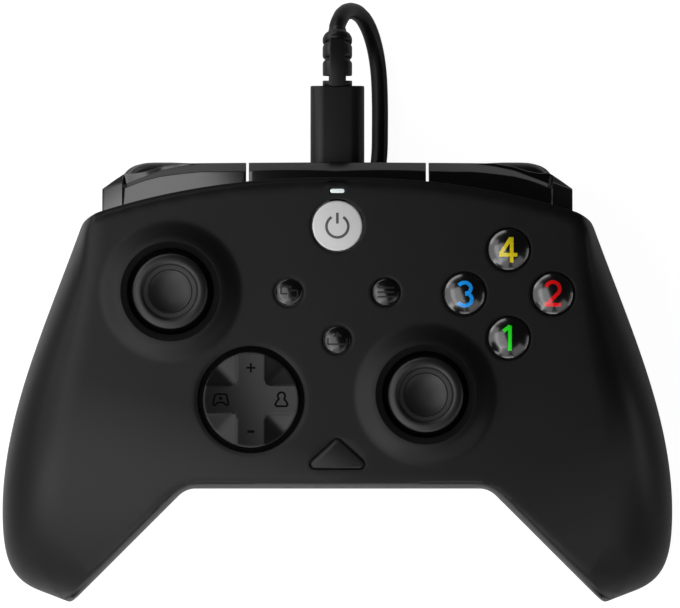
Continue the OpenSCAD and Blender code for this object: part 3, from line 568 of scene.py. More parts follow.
def skin(field, front, loops, height):
    """One surface over the plan: triangles on the outline, its band, the rings round holes and a grid."""
    w = field.w
    n = len(LOOP)
    pts, edges, base = [LOOP], ring_edges(0, n), n
    for a in np.radians(np.linspace(9, 90, 10)):
        d = 1 - math.cos(a)
        p = LOOP + INWARD * (w * d)[:, None]
        keep = (ratio(p, w) > 0.93 * d) & inside(p, LOOP)
        spot = base + np.cumsum(keep) - 1
        narrow = keep & (w < 2.5)
        edges += [(spot[i], spot[(i + 1) % n]) for i in range(n) if narrow[i] and narrow[(i + 1) % n]]
        pts.append(p[keep])
        base += int(keep.sum())
    for rings in loops:
        for k, r in enumerate(rings):
            if k < len(rings) - 1:
                edges += ring_edges(base, len(r))
            pts.append(r)
            base += len(r)
    g = staggered(-78, 78, -52, 50, 1.5)
    g = g[inside(g, LOOP)]
    g = g[ratio(g, w) > 1.04]
    for rings in loops:
        r = rings[-1]
        c = r.mean(0)
        if len(r) > 30:
            far = np.max(lengths(r - c))
            g = g[lengths(g - c) > far + 0.7]
        else:
            g = g[~inside(g, c + (r - c) * 1.15)]
    v, tri = triangulate(pts + [g], edges)
    mid = v[tri].mean(1)
    keep = inside(mid, LOOP)
    for rings in loops:
        keep &= ~inside(mid, rings[0])
    tri = tri[keep]
    used = np.unique(tri)
    new = -np.ones(len(v), int)
    new[used] = np.arange(len(used))
    v, tri = v[used], new[tri]
    tri = face_up(v, tri)
    return np.column_stack([v, height(v)]), (tri if front else tri[:, ::-1])


def boundary(tri):
    """Directed edges used once, as vertex chains."""
    e = np.vstack([tri[:, [0, 1]], tri[:, [1, 2]], tri[:, [2, 0]]])
    have = set(map(tuple, e))
    nxt = {a: b for a, b in have if (b, a) not in have}
    chains = []
    while nxt:
        a = next(iter(nxt))
        c = [a]
        while nxt.get(c[-1]) is not None:
            b = nxt.pop(c[-1])
            if b == c[0]:
                break
            c.append(b)
        chains.append(c)
    return chains


def thicken(v, tri, t):
    """A closed wall of thickness t behind a surface."""
    n = np.zeros_like(v)
    fn = crosses(v, tri)
    for k in range(3):
        np.add.at(n, tri[:, k], fn)
    n /= lengths(n)[:, None] + 1e-12
    faces = [list(f) for f in tri] + [[f[0] + len(v), f[2] + len(v), f[1] + len(v)] for f in tri]
    for c in boundary(tri):
        for a, b in zip(c, c[1:] + c[:1]):
            faces.append([b, a, a + len(v), b + len(v)])
    return np.vstack([v, v - n * t]), faces


def walled(v, tri, chain, low, floor=False):
    """Adds a wall from a hole's edge to the points low, and a floor there if asked."""
    m, k = len(v), len(chain)
    extra = []
    for i in range(k):
        j = (i + 1) % k
        extra += [[chain[j], chain[i], m + i], [chain[j], m + i, m + j]]
        if floor:
            extra.append([m + j, m + i, m + k])
    rows = [v, low, [low.mean(0)]] if floor else [v, low]
    return np.vstack(rows), np.vstack([tri, extra])


FRONT, REAR = Field(True), Field(False)


def front_height(p):
    """Height of the face: stick rings, the dish round the pad, eased hole edges and the rounded band."""
    x, y = p[:, 0], p[:, 1]
    s = part_z(x, y) + SEAM_GAP / 2
    top = top_z(x, y)
    for c in (LEFT_STICK, RIGHT_STICK):
        rho = np.hypot(x - c[0], y - c[1])
        out = smooth((rho - RIM_R) / (FOOT_R - RIM_R))
        crest = np.where(rho < RIM_R, MOUND_H - WELL_SLOPE * (RIM_R - rho), MOUND_H * (1 - out))
        bead = BEAD_H * np.clip(1 - np.abs(rho - BEAD_R) / BEAD_W, 0, 1)
        crest = crest - lip_drop(rho - WELL_R, WELL_LIP) + bead
        top = np.where(rho < FOOT_R + 0.8, top * out + FACE_Z * (1 - out) + crest, top)
    rho = np.hypot(x - DPAD[0], y - DPAD[1])
    top = top - DISH_H * smooth((DISH_R - rho) / DISH_W) - lip_drop(rho - PAD_HOLE, PAD_LIP)
    for c, r, _ in SMALL:
        d = np.hypot(x - c[0], y - c[1]) - r
        top = top - np.where(d < LIP, lip_drop(d), 0)
    d = np.hypot(np.maximum(np.abs(x) - (LENS_W - LENS_H) / 2, 0), y - LENS[1]) - LENS_H / 2
    top = top - np.where(d < LENS_LIP, lip_drop(d, LENS_LIP), 0)
    near = (np.abs(x) < 8) & (y < -11) & (y > -21.5)
    if near.any():
        for d in EDGE_RINGS[:3]:
            away = np.linalg.norm(p[:, None] - triangle(HOLE_GAP + d)[None], axis=2)
            on = near & (np.min(away, axis=1) < 1e-3)
            top = top - np.where(on, lip_drop(np.array(d)), 0)
    return s + (top - s) * FRONT.rise(p)


SKIN, HOLE_WALL, POCKET_X = 1.9, 2.0, 55.2
FRONT_LOOPS, SMALL = holes_front()
v, tri = skin(FRONT, True, FRONT_LOOPS, front_height)
for chain in sorted(boundary(tri), key=len)[:-1]:
    v, tri = walled(v, tri, chain, v[chain] - np.array([0, 0, HOLE_WALL]))
front = mesh_object("front_housing", *thicken(v, tri, SKIN), SHELL)

xs = np.linspace(-POCKET_X, POCKET_X, 60)
pocket = np.vstack([np.column_stack([xs, edge_y(xs) - 3.8]), [(POCKET_X, 57), (-POCKET_X, 57)]])
POCKET = loft([across_z(pocket, z) for z in (19, POCKET_TOP)])
ALONG_Y = [[1, 0, 0], [0, 0, -1], [0, 1, 0]]
PORT = moved(turned(prism(stadium(13.2, 7.2), -61, -38), ALONG_Y), (0, 0, PORT_Z))
JACK = moved(turned(prism(ring((0, 0), 3, 40), 18, 30), ALONG_Y), (0, 0, JACK_Z))
cut(front, POCKET, PORT, JACK)
piece(front, "housing", "shell_black", "front_shell")


def rear_height(p):
    """Height of the underside: belly, grips and the rounded band."""
    x, y = p[:, 0], p[:, 1]
    s = part_z(x, y) - SEAM_GAP / 2
    return s - (s - low_z(x, y)) * REAR.rise(p)


# Screw wells: centre and height of the floor
WELLS = [((s * x, y), z) for (x, y), z in ((GRIP_SCREW, 9.0), (SIDE_SCREW, 15.0)) for s in (-1, 1)]
WELLS.append((MID_SCREW, 22.0))
SCREW_R = 3.3
loops = [[ring(c, r, 56) for r in (SCREW_R, 3.33, 3.4, 3.55, 3.8, 4.6)] for c, _ in WELLS]


def rear_with_wells(p):
    z = rear_height(p)
    for c, _ in WELLS:
        d = np.hypot(p[:, 0] - c[0], p[:, 1] - c[1]) - SCREW_R
        z = z + np.where(d < SCREW_LIP, lip_drop(d, SCREW_LIP), 0)
    return z


v, tri = skin(REAR, False, loops, rear_with_wells)
for chain in sorted(boundary(tri), key=len)[:-1]:
    c = v[chain].mean(0)
    low = v[chain].copy()
    low[:, 2] = min(WELLS, key=lambda q: math.hypot(q[0][0] - c[0], q[0][1] - c[1]))[1]
    v, tri = walled(v, tri, chain, low, True)
rear = mesh_object("rear_housing", *thicken(v, tri, SKIN), SHELL)
BAY_MID, BAY_HALF = (BAY_IN + BAY_OUT) / 2, 13.8
bays = [box((s * BAY_MID - BAY_HALF, BAY_Y, -2), (s * BAY_MID + BAY_HALF, 60, 32)) for s in (-1, 1)]
cut(rear, *bays, PORT, JACK)
piece(rear, "housing", "shell_black", "rear_shell")

# Walls that close the trigger bays up to the bumper switches, with the lugs that hold the pins
WALL_TOP, WALL_IN, WALL_OUT, LUG_R = 34, 22.6, BAY_OUT + 2, 2.4
x = np.linspace(WALL_IN, WALL_OUT, 24)
foot = rear_height(np.column_stack([x, np.full(len(x), BAY_Y - 1)])) + 0.8
prof = np.vstack([np.column_stack([x, foot]), [(WALL_OUT, WALL_TOP), (WALL_IN, WALL_TOP)]])
parts = [loft([across_y(prof, y) for y in (BAY_Y - 0.15, BAY_Y - 2)])]
eye = arc((PIN_Y, PIN_Z), LUG_R, np.radians(np.arange(-30, 196, 15)))
for x0, x1, foot in ((BAY_IN - 2, BAY_IN - 0.15, [(37, 20), (44.6, 21), (45.2, 25.4)]),
                     (46.6, 48.6, [(BAY_Y - 1.6, 19), (BAY_Y + 0.2, 20)])):
    prof = np.vstack([foot, eye, [(foot[0][0], SEAM_Z - 0.4)]])
    parts.append(loft([across_x(prof, q) for q in (x0, x1)]))
wall = join(*parts)
add("trigger_bay_walls", join(mirrored(wall), wall), SHELL, "housing", "shell_black")


# Bridge and bumpers

END_X = 49.0


def band_section(x, low):
    """Section of the bridge and bumpers: top under the lip, inner facet, outer facet, dark ledge and wall."""
    ax = abs(x)
    e = edge_y(x)
    past = max(0, ax - END_X)
    crease = e + np.interp(ax, [0, 20.6, 27, 31, 36, 40.5, 44, 46.5, 48.5],
                           [1.35, 2.25, 2.9, 3.5, 3.9, 4.25, 4.2, 3.95, 3.65])
    outer = np.interp(ax, [0, 31, 36, 40.4, 46.5, 48.5], [50.55, 50.2, 49.6, 48.7, 46.4, 45.6])
    wall = np.interp(ax, [0, 36, 40.4, 44, 46.5, 48.5, 51.1, 53.9],
                     [50.6, 50.4, 49.6, 48.5, 48.1, 48.2, 46.5, 44.5])
    if past:
        crease = e + np.interp(ax, [END_X, 54], [5.0, 4.75])
        outer = crease + 0.15
    t = POCKET_TOP - 0.3 - 0.75 * past
    z = t - (0.9 - 0.45 * min(1, past / 0.3)) * (crease - e + 0.9)
    steep = math.radians(np.interp(ax, [0, 20.6, 30, 45], [55, 55.5, 60, 61.5]))
    rim = max(z - (outer - crease) * math.tan(steep), low + 1.0)
    ledge = max(rim - 0.6 * (wall - outer) - 0.2, low + 0.5)
    w = min(36.2, ledge - 0.4)
    p = [(e - 1.4, t), (e - 0.9, t), (crease, z), (outer, rim), (wall, ledge), (wall - 0.2, low),
         (wall - 2.4, low), (wall - 2.2, w), (crease - 1.8, max(z - 1.6, w + 0.2)), (e - 1.4, t - 1.8)]
    radii = [0.1, 0.2, 0.25, 0.2, 0.25, 0.4, 0.4, 0.4, 0.4, 0.2]
    return across_x(rounded(p, radii, 5), x)


def capped(xs, low):
    """A band through the stations xs, its end edges eased."""
    eased = ((0, 0.95), (0.03, 0.98), (0.1, 0.995))
    stations = [(xs[0] + d, k) for d, k in eased]
    stations += [(x, 1) for x in xs[1:-1]]
    stations += [(xs[-1] - d, k) for d, k in eased[::-1]]
    out = []
    for x, k in stations:
        s = band_section(x, low)
        if k < 1:
            c = s.mean(0)
            d = s - c
            near = lengths(d[:, 1:])
            s = c + d * np.clip(1 - (1 - k) * 1.6 / np.maximum(near, 1.6), 0.8, 1)[:, None]
            s[:, 0] = x
        out.append(s)
    return loft(out)


HINGE = (23.6, 43.3)
ARMS = [box((s * 21.6 - 2.1, 41.2, 33.4), (s * 21.6 + 2.1, 45.4, 34.8)) for s in (-1, 1)]
PINS = [moved(prism(ring((0, 0), r, 32), z0, z1), (s * HINGE[0], HINGE[1], 0))
        for s in (-1, 1) for r, z0, z1 in ((2.1, 33.4, 34.8), (1.2, 34, 40.6))]
bridge = mesh_object("bridge_bar", *capped(np.linspace(-20.3, 20.3, 44), 27.4), GLOSS, 40)
cut(bridge, PORT)
piece(bridge, "housing", "gloss_black", "bridge")
shelf = join(box((-20, 41.4, 33.4), (20, 46.8, 34.8)), *ARMS, *PINS)
add("bridge_shelf", shelf, GLOSS, "housing", "gloss_black")

bumper_x = np.concatenate(
    [np.linspace(20.9, 48.7, 46), [END_X, END_X + 0.05, END_X + 0.35], np.linspace(49.8, 53.9, 10)])
sleeve = lathe([(1.28, 35.1), (2.4, 35.1), (2.4, 39.5), (1.28, 39.5), (1.28, 35.1)], (*HINGE, 0), 40)
hinge = [sleeve, box((44, 39.4, 34.2), (46.4, 45.6, 37.2)), box((24.6, 44.9, 35.1), (26.2, 47.6, 38.3))]
bar = join(capped(bumper_x, 33.4), *hinge)
SIDES = (("left", mirrored), ("right", join))
for name, placed in SIDES:
    node = name + "_bumper"
    add(node + "_bar", placed(bar), GLOSS, node, "gloss_black", node, sharp=40)


# Triggers

def trigger_part():
    """A pull lofted along X from its front and back curves (y, z), with the lugs on its pin."""
    front_c = np.array([
        (46.6, 32.8), (48.2, 32.75), (49.4, 32.3), (50.3, 31.4), (50.7, 29), (50.5, 26.5), (50, 24),
        (49.45, 21), (49, 18.5), (48.65, 16), (48.5, 13.5), (48.4, 11), (48.5, 9), (48.75, 7), (49.2, 5),
        (49.8, 3.5), (50.35, 2.3), (50.6, 1.5)])
    back_c = np.array([
        (50.3, 0.85), (49.5, 0.6), (48.4, 0.75), (47.4, 1.5), (46.5, 3), (45.9, 5), (45.5, 7.5), (45.3, 10),
        (45.2, 12.5), (45.2, 16), (45.25, 19), (45.6, 21.4), (46.4, 22.6), (47.3, 23.6), (47.5, 26),
        (47.5, 29), (47.2, 30.8), (46.6, 31.6)])
    t = np.linspace(0, 1, len(front_c))
    u = np.linspace(0, 1, 60)
    fc, bc = sampled(u, t, front_c), sampled(u, t, back_c)
    for c in (fc, bc):
        for _ in range(6):
            c[1:-1] = 0.25 * c[:-2] + 0.5 * c[1:-1] + 0.25 * c[2:]
    plan_x = [25.4, 25.6, 26.1, 27, 28, 29.5, 33, 38, 42, 44, 45.4, 46.7, 47.7, 48.4, 48.9, 49.2]
    plan_y = [-3.6, -2.9, -2.2, -1.5, -1.0, -0.6, -0.2, 0, 0, -0.1, -0.4, -1.1, -2.0, -3.0, -4.0, -4.8]
    sections = []
    for x in np.concatenate([[25.4, 25.5, 25.7], np.linspace(26, 48.4, 40), [48.7, 48.9, 49.08, 49.2]]):
        d = np.interp(x, plan_x, plan_y)
        f = fc.copy()
        f[:, 0] += d * np.interp(f[:, 1], [15, 24], [0.55, 1])
        b = bc.copy()
        b[:, 0] = np.minimum(b[:, 0], np.interp(b[:, 1], fc[::-1, 1], f[::-1, 0]) - 0.9)
        sections.append(across_x(np.vstack([f, b]), x))
    eye = arc((PIN_Y, PIN_Z), 3.2, np.radians(np.arange(40, 321, 10)))
    lug = np.vstack([eye, [(46.6, 24.2), (47.8, 25), (47.8, 30.4)]])
    lugs = [loft([across_x(lug, x) for x in ends]) for ends in ((25.6, 33.2), (41.8, 46.0))]
    return join(loft(sections), *lugs)


for name, placed in SIDES:
    node = name + "_trigger"
    add(node + "_pull", placed(trigger_part()), SATIN, node, "shell_black", node, sharp=45)


# Sticks

CAP = [(0, 18.7), (1, 18.72), (2, 18.8), (3, 18.98), (4, 19.3), (4.6, 19.58), (4.82, 19.72), (4.9, 19.62),
       (4.96, 19.62), (5.02, 19.9), (5.1, 20.02), (5.6, 20.1), (6.0, 20.14), (6.08, 20.02), (6.18, 20.02),
       (6.24, 20.45), (6.34, 20.62), (6.6, 20.8)]
CAP += [(6.95 + 1.65 * math.cos(q), 19.85 + 1.02 * math.sin(q)) for q in np.radians(np.linspace(90, 8, 14))]
KNURL0 = len(CAP)
CAP += [(8.6, 19.7), (8.6, 19.2), (8.6, 18.2), (8.6, 17.4)]
KNURL1 = len(CAP)
CAP += [(8.5, 17.0), (8.2, 16.6), (7.6, 16.42), (4.6, 15.9), (3.9, 15.3), (3.6, 14.6), (3.6, 13), (1.25, 13),
        (1.25, 15), (0, 15)]


def bowl(r, a0, a1, n):
    """(radius, z) points on a circle round the pivot, angles from straight up."""
    return [(r * math.sin(a), r * math.cos(a)) for a in np.radians(np.linspace(a0, a1, n))]


SKIRT = [(3.58, 14), (3.58, 11.2), *bowl(11.7, 18.5, 60, 14), *bowl(10.9, 60, 18, 12)]
SKIRT += [(2.6, 10.2), (2.6, 6.4), (1.25, 6.4), (1.25, 14), (3.58, 14)]


def knurl(k, a):
    return -0.1 * (np.cos(a * 60) > 0.2) if KNURL0 <= k < KNURL1 else 0 * a


for name, c in (("left_stick", LEFT_STICK), ("right_stick", RIGHT_STICK)):
    top = lathe(CAP, (*c, PIVOT_Z), 240, knurl)
    add(name + "_top", top, RUBBER, name, "stick_rubber", name + "_cap", sharp=32)
    # The skirt takes the darker copy of the black: painted shade in the well.
    add(name + "_skirt", lathe(SKIRT, (*c, PIVOT_Z), 96), PAINTED_WELL_SHADE, name, "stick_rubber", sharp=32)


# Direction pad

ARM, CORNER, PAD_R, PAD_LOW, PAD_COUNT = 3.25, 1.2, 10.95, 40.6, 144


def quadrant(x, y):
    """Distance from the cross into a quadrant, below zero on the cross."""
    u, w = np.abs(x) - ARM, np.abs(y) - ARM
    d = np.minimum(u, w)
    both = (u < CORNER) & (w < CORNER) & (u > 0) & (w > 0)
    return np.where(both, CORNER - np.hypot(CORNER - u, CORNER - w), d), u, w


def pad_height(p):
    x, y = p[:, 0], p[:, 1]
    rho = np.hypot(x, y)
    arm = 47.0 + 1.1 * (rho / 10) ** 2
    d, u, w = quadrant(x, y)
    k = 1.6
    h = np.clip(0.5 + 0.5 * (w - u) / k, 0, 1)
    valley = np.maximum(0, w * (1 - h) + u * h - k * h * (1 - h))
    z = np.where(d > 0, arm - np.clip(d / 0.2, 0, 1) * 0.22 - 0.5 * np.maximum(0, valley - 0.1), arm)
    z = z - np.where((d > -0.14) & (d <= 0), 0.05 * ((d + 0.14) / 0.14) ** 2, 0)
    return z - lip_drop(PAD_R - rho, 0.4)


def cross_loop(g):
    """One quadrant's edge curve of the cross, g outside it, clipped to the pad."""
    a = ARM + g
    far = math.sqrt(max(0, (PAD_R - 0.45) ** 2 - a * a))
    t = np.radians(np.linspace(180, 270, 9))
    c = a + (CORNER - g)
    bend = arc((c, c), CORNER - g, t)
    up = np.column_stack([np.full(16, a), np.linspace(far, c, 16)])[:-1]
    out = np.column_stack([np.linspace(c, far, 16), np.full(16, a)])[1:]
    return np.vstack([up, bend, out])


def pad_mesh():
    """The pad's top with its side, and the flange, hub and stubs under it."""
    pts, edges, base = [], ring_edges(0, PAD_COUNT), 0
    for d in (0, 0.05, 0.18, 0.4):
        pts.append(ring((0, 0), PAD_R - d, PAD_COUNT))
        base += PAD_COUNT
    for g in (-0.14, 0.0, 0.2):
        for sx in (-1, 1):
            for sy in (-1, 1):
                p = cross_loop(g) * [sx, sy]
                edges += [(base + i, base + i + 1) for i in range(len(p) - 1)]
                pts.append(p)
                base += len(p)
    g = staggered(-11, 11, -11, 11, 0.42)
    d = quadrant(g[:, 0], g[:, 1])[0]
    pts.append(g[(np.hypot(g[:, 0], g[:, 1]) < PAD_R - 0.55) & ((d < -0.3) | (d > 0.36))])
    v, tri = triangulate(pts, edges)
    tri = face_up(v, tri)
    top = np.column_stack([v, pad_height(v)])
    chain = max(boundary(tri), key=len)
    low = top[chain].copy()
    low[:, 2] = PAD_LOW
    m, k = len(top), len(chain)
    faces = [list(f) for f in tri]
    for i in range(k):
        j = (i + 1) % k
        faces.append([chain[j], chain[i], m + i, m + j])
    faces.append(list(range(m, m + k))[::-1])
    flange = lathe([(0, PAD_LOW), (12.75, PAD_LOW), (12.75, 42.1), (10.5, 42.1), (0, 42.1)], n=96)
    stub = prism(ring((0, 0), 1.9, 32), 39.2, 41)
    stubs = [moved(stub, (x, y, 0)) for x, y in ((7, 0), (-7, 0), (0, 7), (0, -7))]
    socket = [(1.7, 39.2), (3.6, 38.2), (3.6, 41.2), (0, 41.2), (0, 40.1), (1.2, 39.75), (1.7, 39.2)]
    hub = lathe(socket, n=48)
    return (np.vstack([top, low]), faces), join(flange, hub, *stubs)


pad_top, pad_under = pad_mesh()
add("direction_pad", moved(pad_top, (*DPAD, 0)), SATIN, "dpad", "dark_plastic", "dpad", sharp=30)
# The flange under the pad takes the darker copy of the black: painted shade in the recess.
add("direction_pad_flange", moved(pad_under, (*DPAD, 0)), PAINTED_WELL_SHADE, "dpad", "dark_plastic")


# Marks: strokes laid on a surface

def stroke(path, width, surface, lift, step=0.12):
    """A flat ribbon along a path, following the surface."""
    path = np.asarray(path, float)
    s = reached(path)
    u = np.linspace(0, s[-1], max(2, int(s[-1] / step)))
    u = np.unique(np.round(np.concatenate([u, s]), 6))
    c = sampled(u, s, path)
    t = np.gradient(c, axis=0)
    n = np.column_stack([-t[:, 1], t[:, 0]]) / (lengths(t)[:, None] + 1e-12)
    across = np.linspace(-0.5, 0.5, 5) * width
    rows = [c + n * a for a in across]
    verts = np.vstack([np.column_stack([r, surface(r) + lift]) for r in rows])
    k = len(c)
    faces = []
    for j in range(len(rows) - 1):
        for i in range(j * k, (j + 1) * k - 1):
            faces.append([i, i + 1, k + i + 1, k + i])
    return verts, faces


def curve2(c, rx, ry, a0, a1, n):
    """Points on an ellipse, from angle a0 to a1."""
    a = np.radians(np.linspace(a0, a1, n))
    return [(c[0] + rx * math.cos(q), c[1] + ry * math.sin(q)) for q in a]


def marks(name, paths, width, surface, mat, body, slot, at, lift=0.012):
    """Strokes as one piece, each a hair above the one before."""
    parts = []
    for k, p in enumerate(paths):
        parts.append(stroke(np.asarray(p, float) + np.array(at), width, surface, lift + 0.002 * k))
    return add(name, join(*parts), mat, body, slot)


# Buttons

CEILING, FLANGE_LOW, SWITCH_Z, MEMBRANE_Z = 43.5, 42, 33.2, 34.3


def dome(name, body, at, r, edge, crown, flange, stem_r, stem_z, n, mat, slot="gloss_black"):
    """A crowned button with a flange below the face and a stem; gives its upper surface for marks."""
    arch = ((r - 0.25) ** 2 + crown ** 2) / (2 * crown)
    brim, base = FACE_Z + edge, FACE_Z + edge + crown - arch
    p = [(x, base + math.sqrt(arch * arch - x * x)) for x in np.linspace(0, r - 0.25, 22)]
    p += [(r - 0.12, brim - 0.1), (r - 0.03, brim - 0.26), (r, brim - 0.5), (r, CEILING), (flange, CEILING),
          (flange, FLANGE_LOW), (stem_r, FLANGE_LOW), (stem_r, stem_z), (0, stem_z)]
    add(name, lathe(p, (*at, 0), n), mat, body, slot, body, sharp=40)
    return lambda q: base + np.sqrt(np.maximum(0, arch * arch - np.sum((q - np.array(at)) ** 2, 1)))


DIGITS = {
    "1": [[(-1.35, 1.75), (0.35, 3.05)], [(0.3, 3.2), (0.3, -3.2)]],
    "2": [curve2((0, 1.3), 1.75, 1.75, 165, -38, 26) + [(-1.7, -2.75)], [(-2.1, -2.72), (2.1, -2.72)]],
    "3": [curve2((0, 1.45), 1.6, 1.45, 150, -85, 26), curve2((0, -1.35), 1.85, 1.6, 85, -150, 28)],
    "4": [[(0.75, 3.2), (0.75, -3.2)], [(0.55, 3.0), (-2.15, -1.15)], [(-2.4, -1.25), (2.2, -1.25)]],
}
FACE_BUTTONS = (("1", 270, "green"), ("2", 0, "red"), ("3", 180, "blue"), ("4", 90, "yellow"))
for digit, a, tone in FACE_BUTTONS:
    c = face_centre(a)
    name = "face_button_" + digit
    surf = dome(name + "_dome", name, c, FACE_R, 1.15, 1.65, 5.8, 3, MEMBRANE_Z, 112, DOME)
    shape = [0.9 * np.array(path) for path in DIGITS[digit]]
    marks(name + "_numeral", shape, 0.85, surf, MARKS[tone], name, "gloss_black", c)

ICONS = {
    "view": [[(-0.3, -0.35), (-1.8, -0.35), (-1.8, 1.3), (0.4, 1.3), (0.4, 0.85)],
             [(0.1, 0.4), (1.95, 0.4), (1.95, -1.25), (0.1, -1.25), (0.1, 0.4)]],
    "menu": [[(-1.95, y), (1.95, y)] for y in (1.05, 0, -1.05)],
    "share": [[(-2.15, 0.45), (-2.15, -1.0), (2.15, -1.0), (2.15, 0.45)], [(0, -0.1), (0, 1.45)],
              [(-0.85, 0.7), (0, 1.6), (0.85, 0.7)]],
}
for key, c in (("view", VIEW), ("menu", MENU), ("share", SHARE)):
    name = key + "_button"
    surf = dome(name + "_dome", name, c, SMALL_R, 0.35, 0.75, 4.1, 1.2, SWITCH_Z, 80, SMALL_DOME)
    marks(key + "_icon", ICONS[key], 0.4, surf, ICON, name, "gloss_black", c)

surf = dome("guide_disc", "guide_button", GUIDE, GUIDE_R, 0.3, 0.35, 7, 1.5, SWITCH_Z, 120, SILVER, "silver")
STANDBY = [curve2((0, -0.15), 2.5, 2.5, 122, 418, 60), [(0, 0.5), (0, 3.0)]]
marks("guide_symbol", STANDBY, 0.62, surf, MARKS["grey"], "guide_button", "silver", GUIDE)

key_stem = moved(prism(ring((0, 0), 1.4, 32), SWITCH_Z, 42.5), (0, -17, 0))
key_flange = prism(triangle(0.9), FLANGE_LOW, CEILING)
key_top = join(prism(triangle(0), 43, FACE_Z + 0.7, 0.22), key_flange, key_stem)
add("function_key", key_top, SATIN, "function_button", "dark_plastic", "function_button", sharp=30)
lens = moved(prism(stadium(3.3, 0.95, 16), 43, FACE_Z + 0.06, 0.12), (*LENS, 0))
add("status_light", lens, WHITE, "housing", "lens_white", "status_lens")

# Pictograms on the direction pad
PICTO = {
    "plus": [[(-1.05, 7.3), (1.05, 7.3)], [(0, 6.25), (0, 8.35)]],
    "minus": [[(-0.8, -7.3), (0.8, -7.3)]],
    "pad": [[(-8.2, 1.1), (-7.9, 1.25), (-5.9, 1.25), (-5.6, 1.1), (-5.15, -0.9), (-5.3, -1.25), (-5.7, -1.2),
             (-6.2, -0.65), (-7.6, -0.65), (-8.1, -1.2), (-8.5, -1.25), (-8.65, -0.9), (-8.2, 1.1)],
            [(-7.3, 0.3), (-6.5, 0.3)], [(-6.9, -0.1), (-6.9, 0.7)]],
    "person": [curve2((7.0, 0.85), 0.85, 0.85, -50, 230, 22)
               + [(5.95, -0.35), (5.55, -1.15), (5.9, -1.5), (8.1, -1.5), (8.45, -1.15), (8.05, -0.35),
                  (7.55, 0.2)]],
}


def pad_surface(q):
    return pad_height(q - np.array(DPAD))


for key, paths in PICTO.items():
    width = 0.58 if key == "minus" else 0.44
    marks("pad_mark_" + key, paths, width, pad_surface, INK, "dpad", "dark_plastic", DPAD)


# Lead

CORD_D, CORD_R, TURN_GAP, COIL_IN, LAYER_TURNS = 3.8, 1.9, 0.45, 11.0, 4.27
BEND_Y, BEND_R = 70.4, 18.0
PITCH = CORD_D + TURN_GAP
COIL_AT, COIL_Z, COIL_START = (3.0, 10.5), 2.6, 100.0
SWEEP, LAYERS, COIL_STEPS = 360 * LAYER_TURNS, 4, 820
COIL_OUT = COIL_IN + PITCH * LAYER_TURNS


def coil(a):
    """A point of the coil, a degrees along it: four flat layers, in, out, in and out."""
    k = math.floor(min(a, LAYERS * SWEEP - 0.001) / SWEEP)
    u = (a - k * SWEEP) / 360
    r = COIL_OUT - PITCH * u if k % 2 == 0 else COIL_IN + PITCH * u
    z = COIL_Z + PITCH * sum(min(1, max(0, (a - j * SWEEP) / 180 + 0.5)) for j in range(1, LAYERS))
    t = math.radians(COIL_START + a)
    return COIL_AT[0] + r * math.cos(t), COIL_AT[1] + r * math.sin(t), z


BEND = math.radians(36)
BOOT_END = (0, BEND_Y + BEND_R * math.sin(BEND), PORT_Z - BEND_R + BEND_R * math.cos(BEND))
BOOT_AHEAD = tuple(np.array(BOOT_END) + 1.2 * np.array((0, math.cos(BEND), -math.sin(BEND))))
RUN = [BOOT_END, BOOT_AHEAD, (0.4, 83.1, 21.4), (1.3, 84.7, 18.6), (2.6, 85.5, 15.2), (4.2, 85.3, 11.8),
       (5.8, 84, 8.6), (7.2, 81.6, 5.8), (8.3, 78.4, 3.6), (9.1, 74.6, 2.3), (9.6, 70, 1.95), (9.8, 64, 1.9),
       (9.8, 58, 1.9), (9.7, 53, 1.9), (9.2, 49, 2), (7.8, 45.2, 2.1), (5.4, 42, 2.3), (2.2, 40.1, 2.5)]
COIL = [coil(LAYERS * SWEEP * i / COIL_STEPS) for i in range(COIL_STEPS + 1)]
TAIL = [(-18.8, 30.1, 15.4), (-22, 27.3, 15.2), (-24.9, 24.9, 14), (-27.2, 23, 11.6), (-29.4, 21.4, 8.6),
        (-31.2, 20.1, 5.8), (-33.2, 19, 4.1), (-35.2, 18.3, 3.5), (-36.4, 18.2, 3.4)]


def spline_through(pts, n=6):
    """Smooth points through a route."""
    p = np.vstack([2 * np.array(pts[0]) - pts[1], pts, 2 * np.array(pts[-1]) - pts[-2]])
    out = []
    for i in range(1, len(p) - 2):
        a, b, c, d = p[i - 1:i + 3]
        square, cube = 2 * a - 5 * b + 4 * c - d, 3 * b - a - 3 * c + d
        for u in np.arange(n) / n:
            out.append(0.5 * (2 * b + (c - a) * u + square * u * u + cube * u ** 3))
    return np.vstack(out + [p[-2]])


run = spline_through(RUN + COIL[:2])[:-6]
tail = spline_through([COIL[-2], COIL[-1]] + TAIL)[6:]
route = np.vstack([run, COIL[:-1], tail])
cable = bpy.data.curves.new("lead_cord", "CURVE")
cable.dimensions = "3D"
cable.bevel_depth = CORD_R * MM
cable.bevel_resolution = 5
cable.use_fill_caps = True
line = cable.splines.new("POLY")
line.points.add(len(route) - 1)
for q, p in zip(line.points, route):
    q.co = (*(np.array(p) * MM), 1)
cable.materials.append(CORD)
cord = bpy.data.objects.new("lead_cord", cable)
scene.collection.objects.link(cord)
piece(cord, "housing", "lead_black", "lead_run", "lead_coil", "lead_tail")
PLUG_END = 68.2


def plug_body():
    """The moulded plug, its far edge eased, and its contact."""
    sections = []
    for d, y in ((0, 45), (0, 67.85), (0.04, 68.0), (0.12, 68.12), (0.25, 68.18), (0.45, PLUG_END)):
        sections.append(across_y(stadium(12.4 - 2 * d, 6.4 - 2 * d, 28), y)[::-1])
    contact = [across_y(stadium(8.25, 2.4, 20), y)[::-1] for y in (37.6, 45.2)]
    return [moved(loft(s), (0, 0, PORT_Z)) for s in (sections, contact)]


shell, tongue = plug_body()
plug = add("lead_plug_moulding", shell, SATIN, "housing", "lead_black", "lead_plug", sharp=40)
add("lead_plug_contact", tongue, STEEL, "housing", "lead_black")
STRAIGHT = BEND_Y - PLUG_END
BOOT_LENGTH = STRAIGHT + BEND_R * BEND
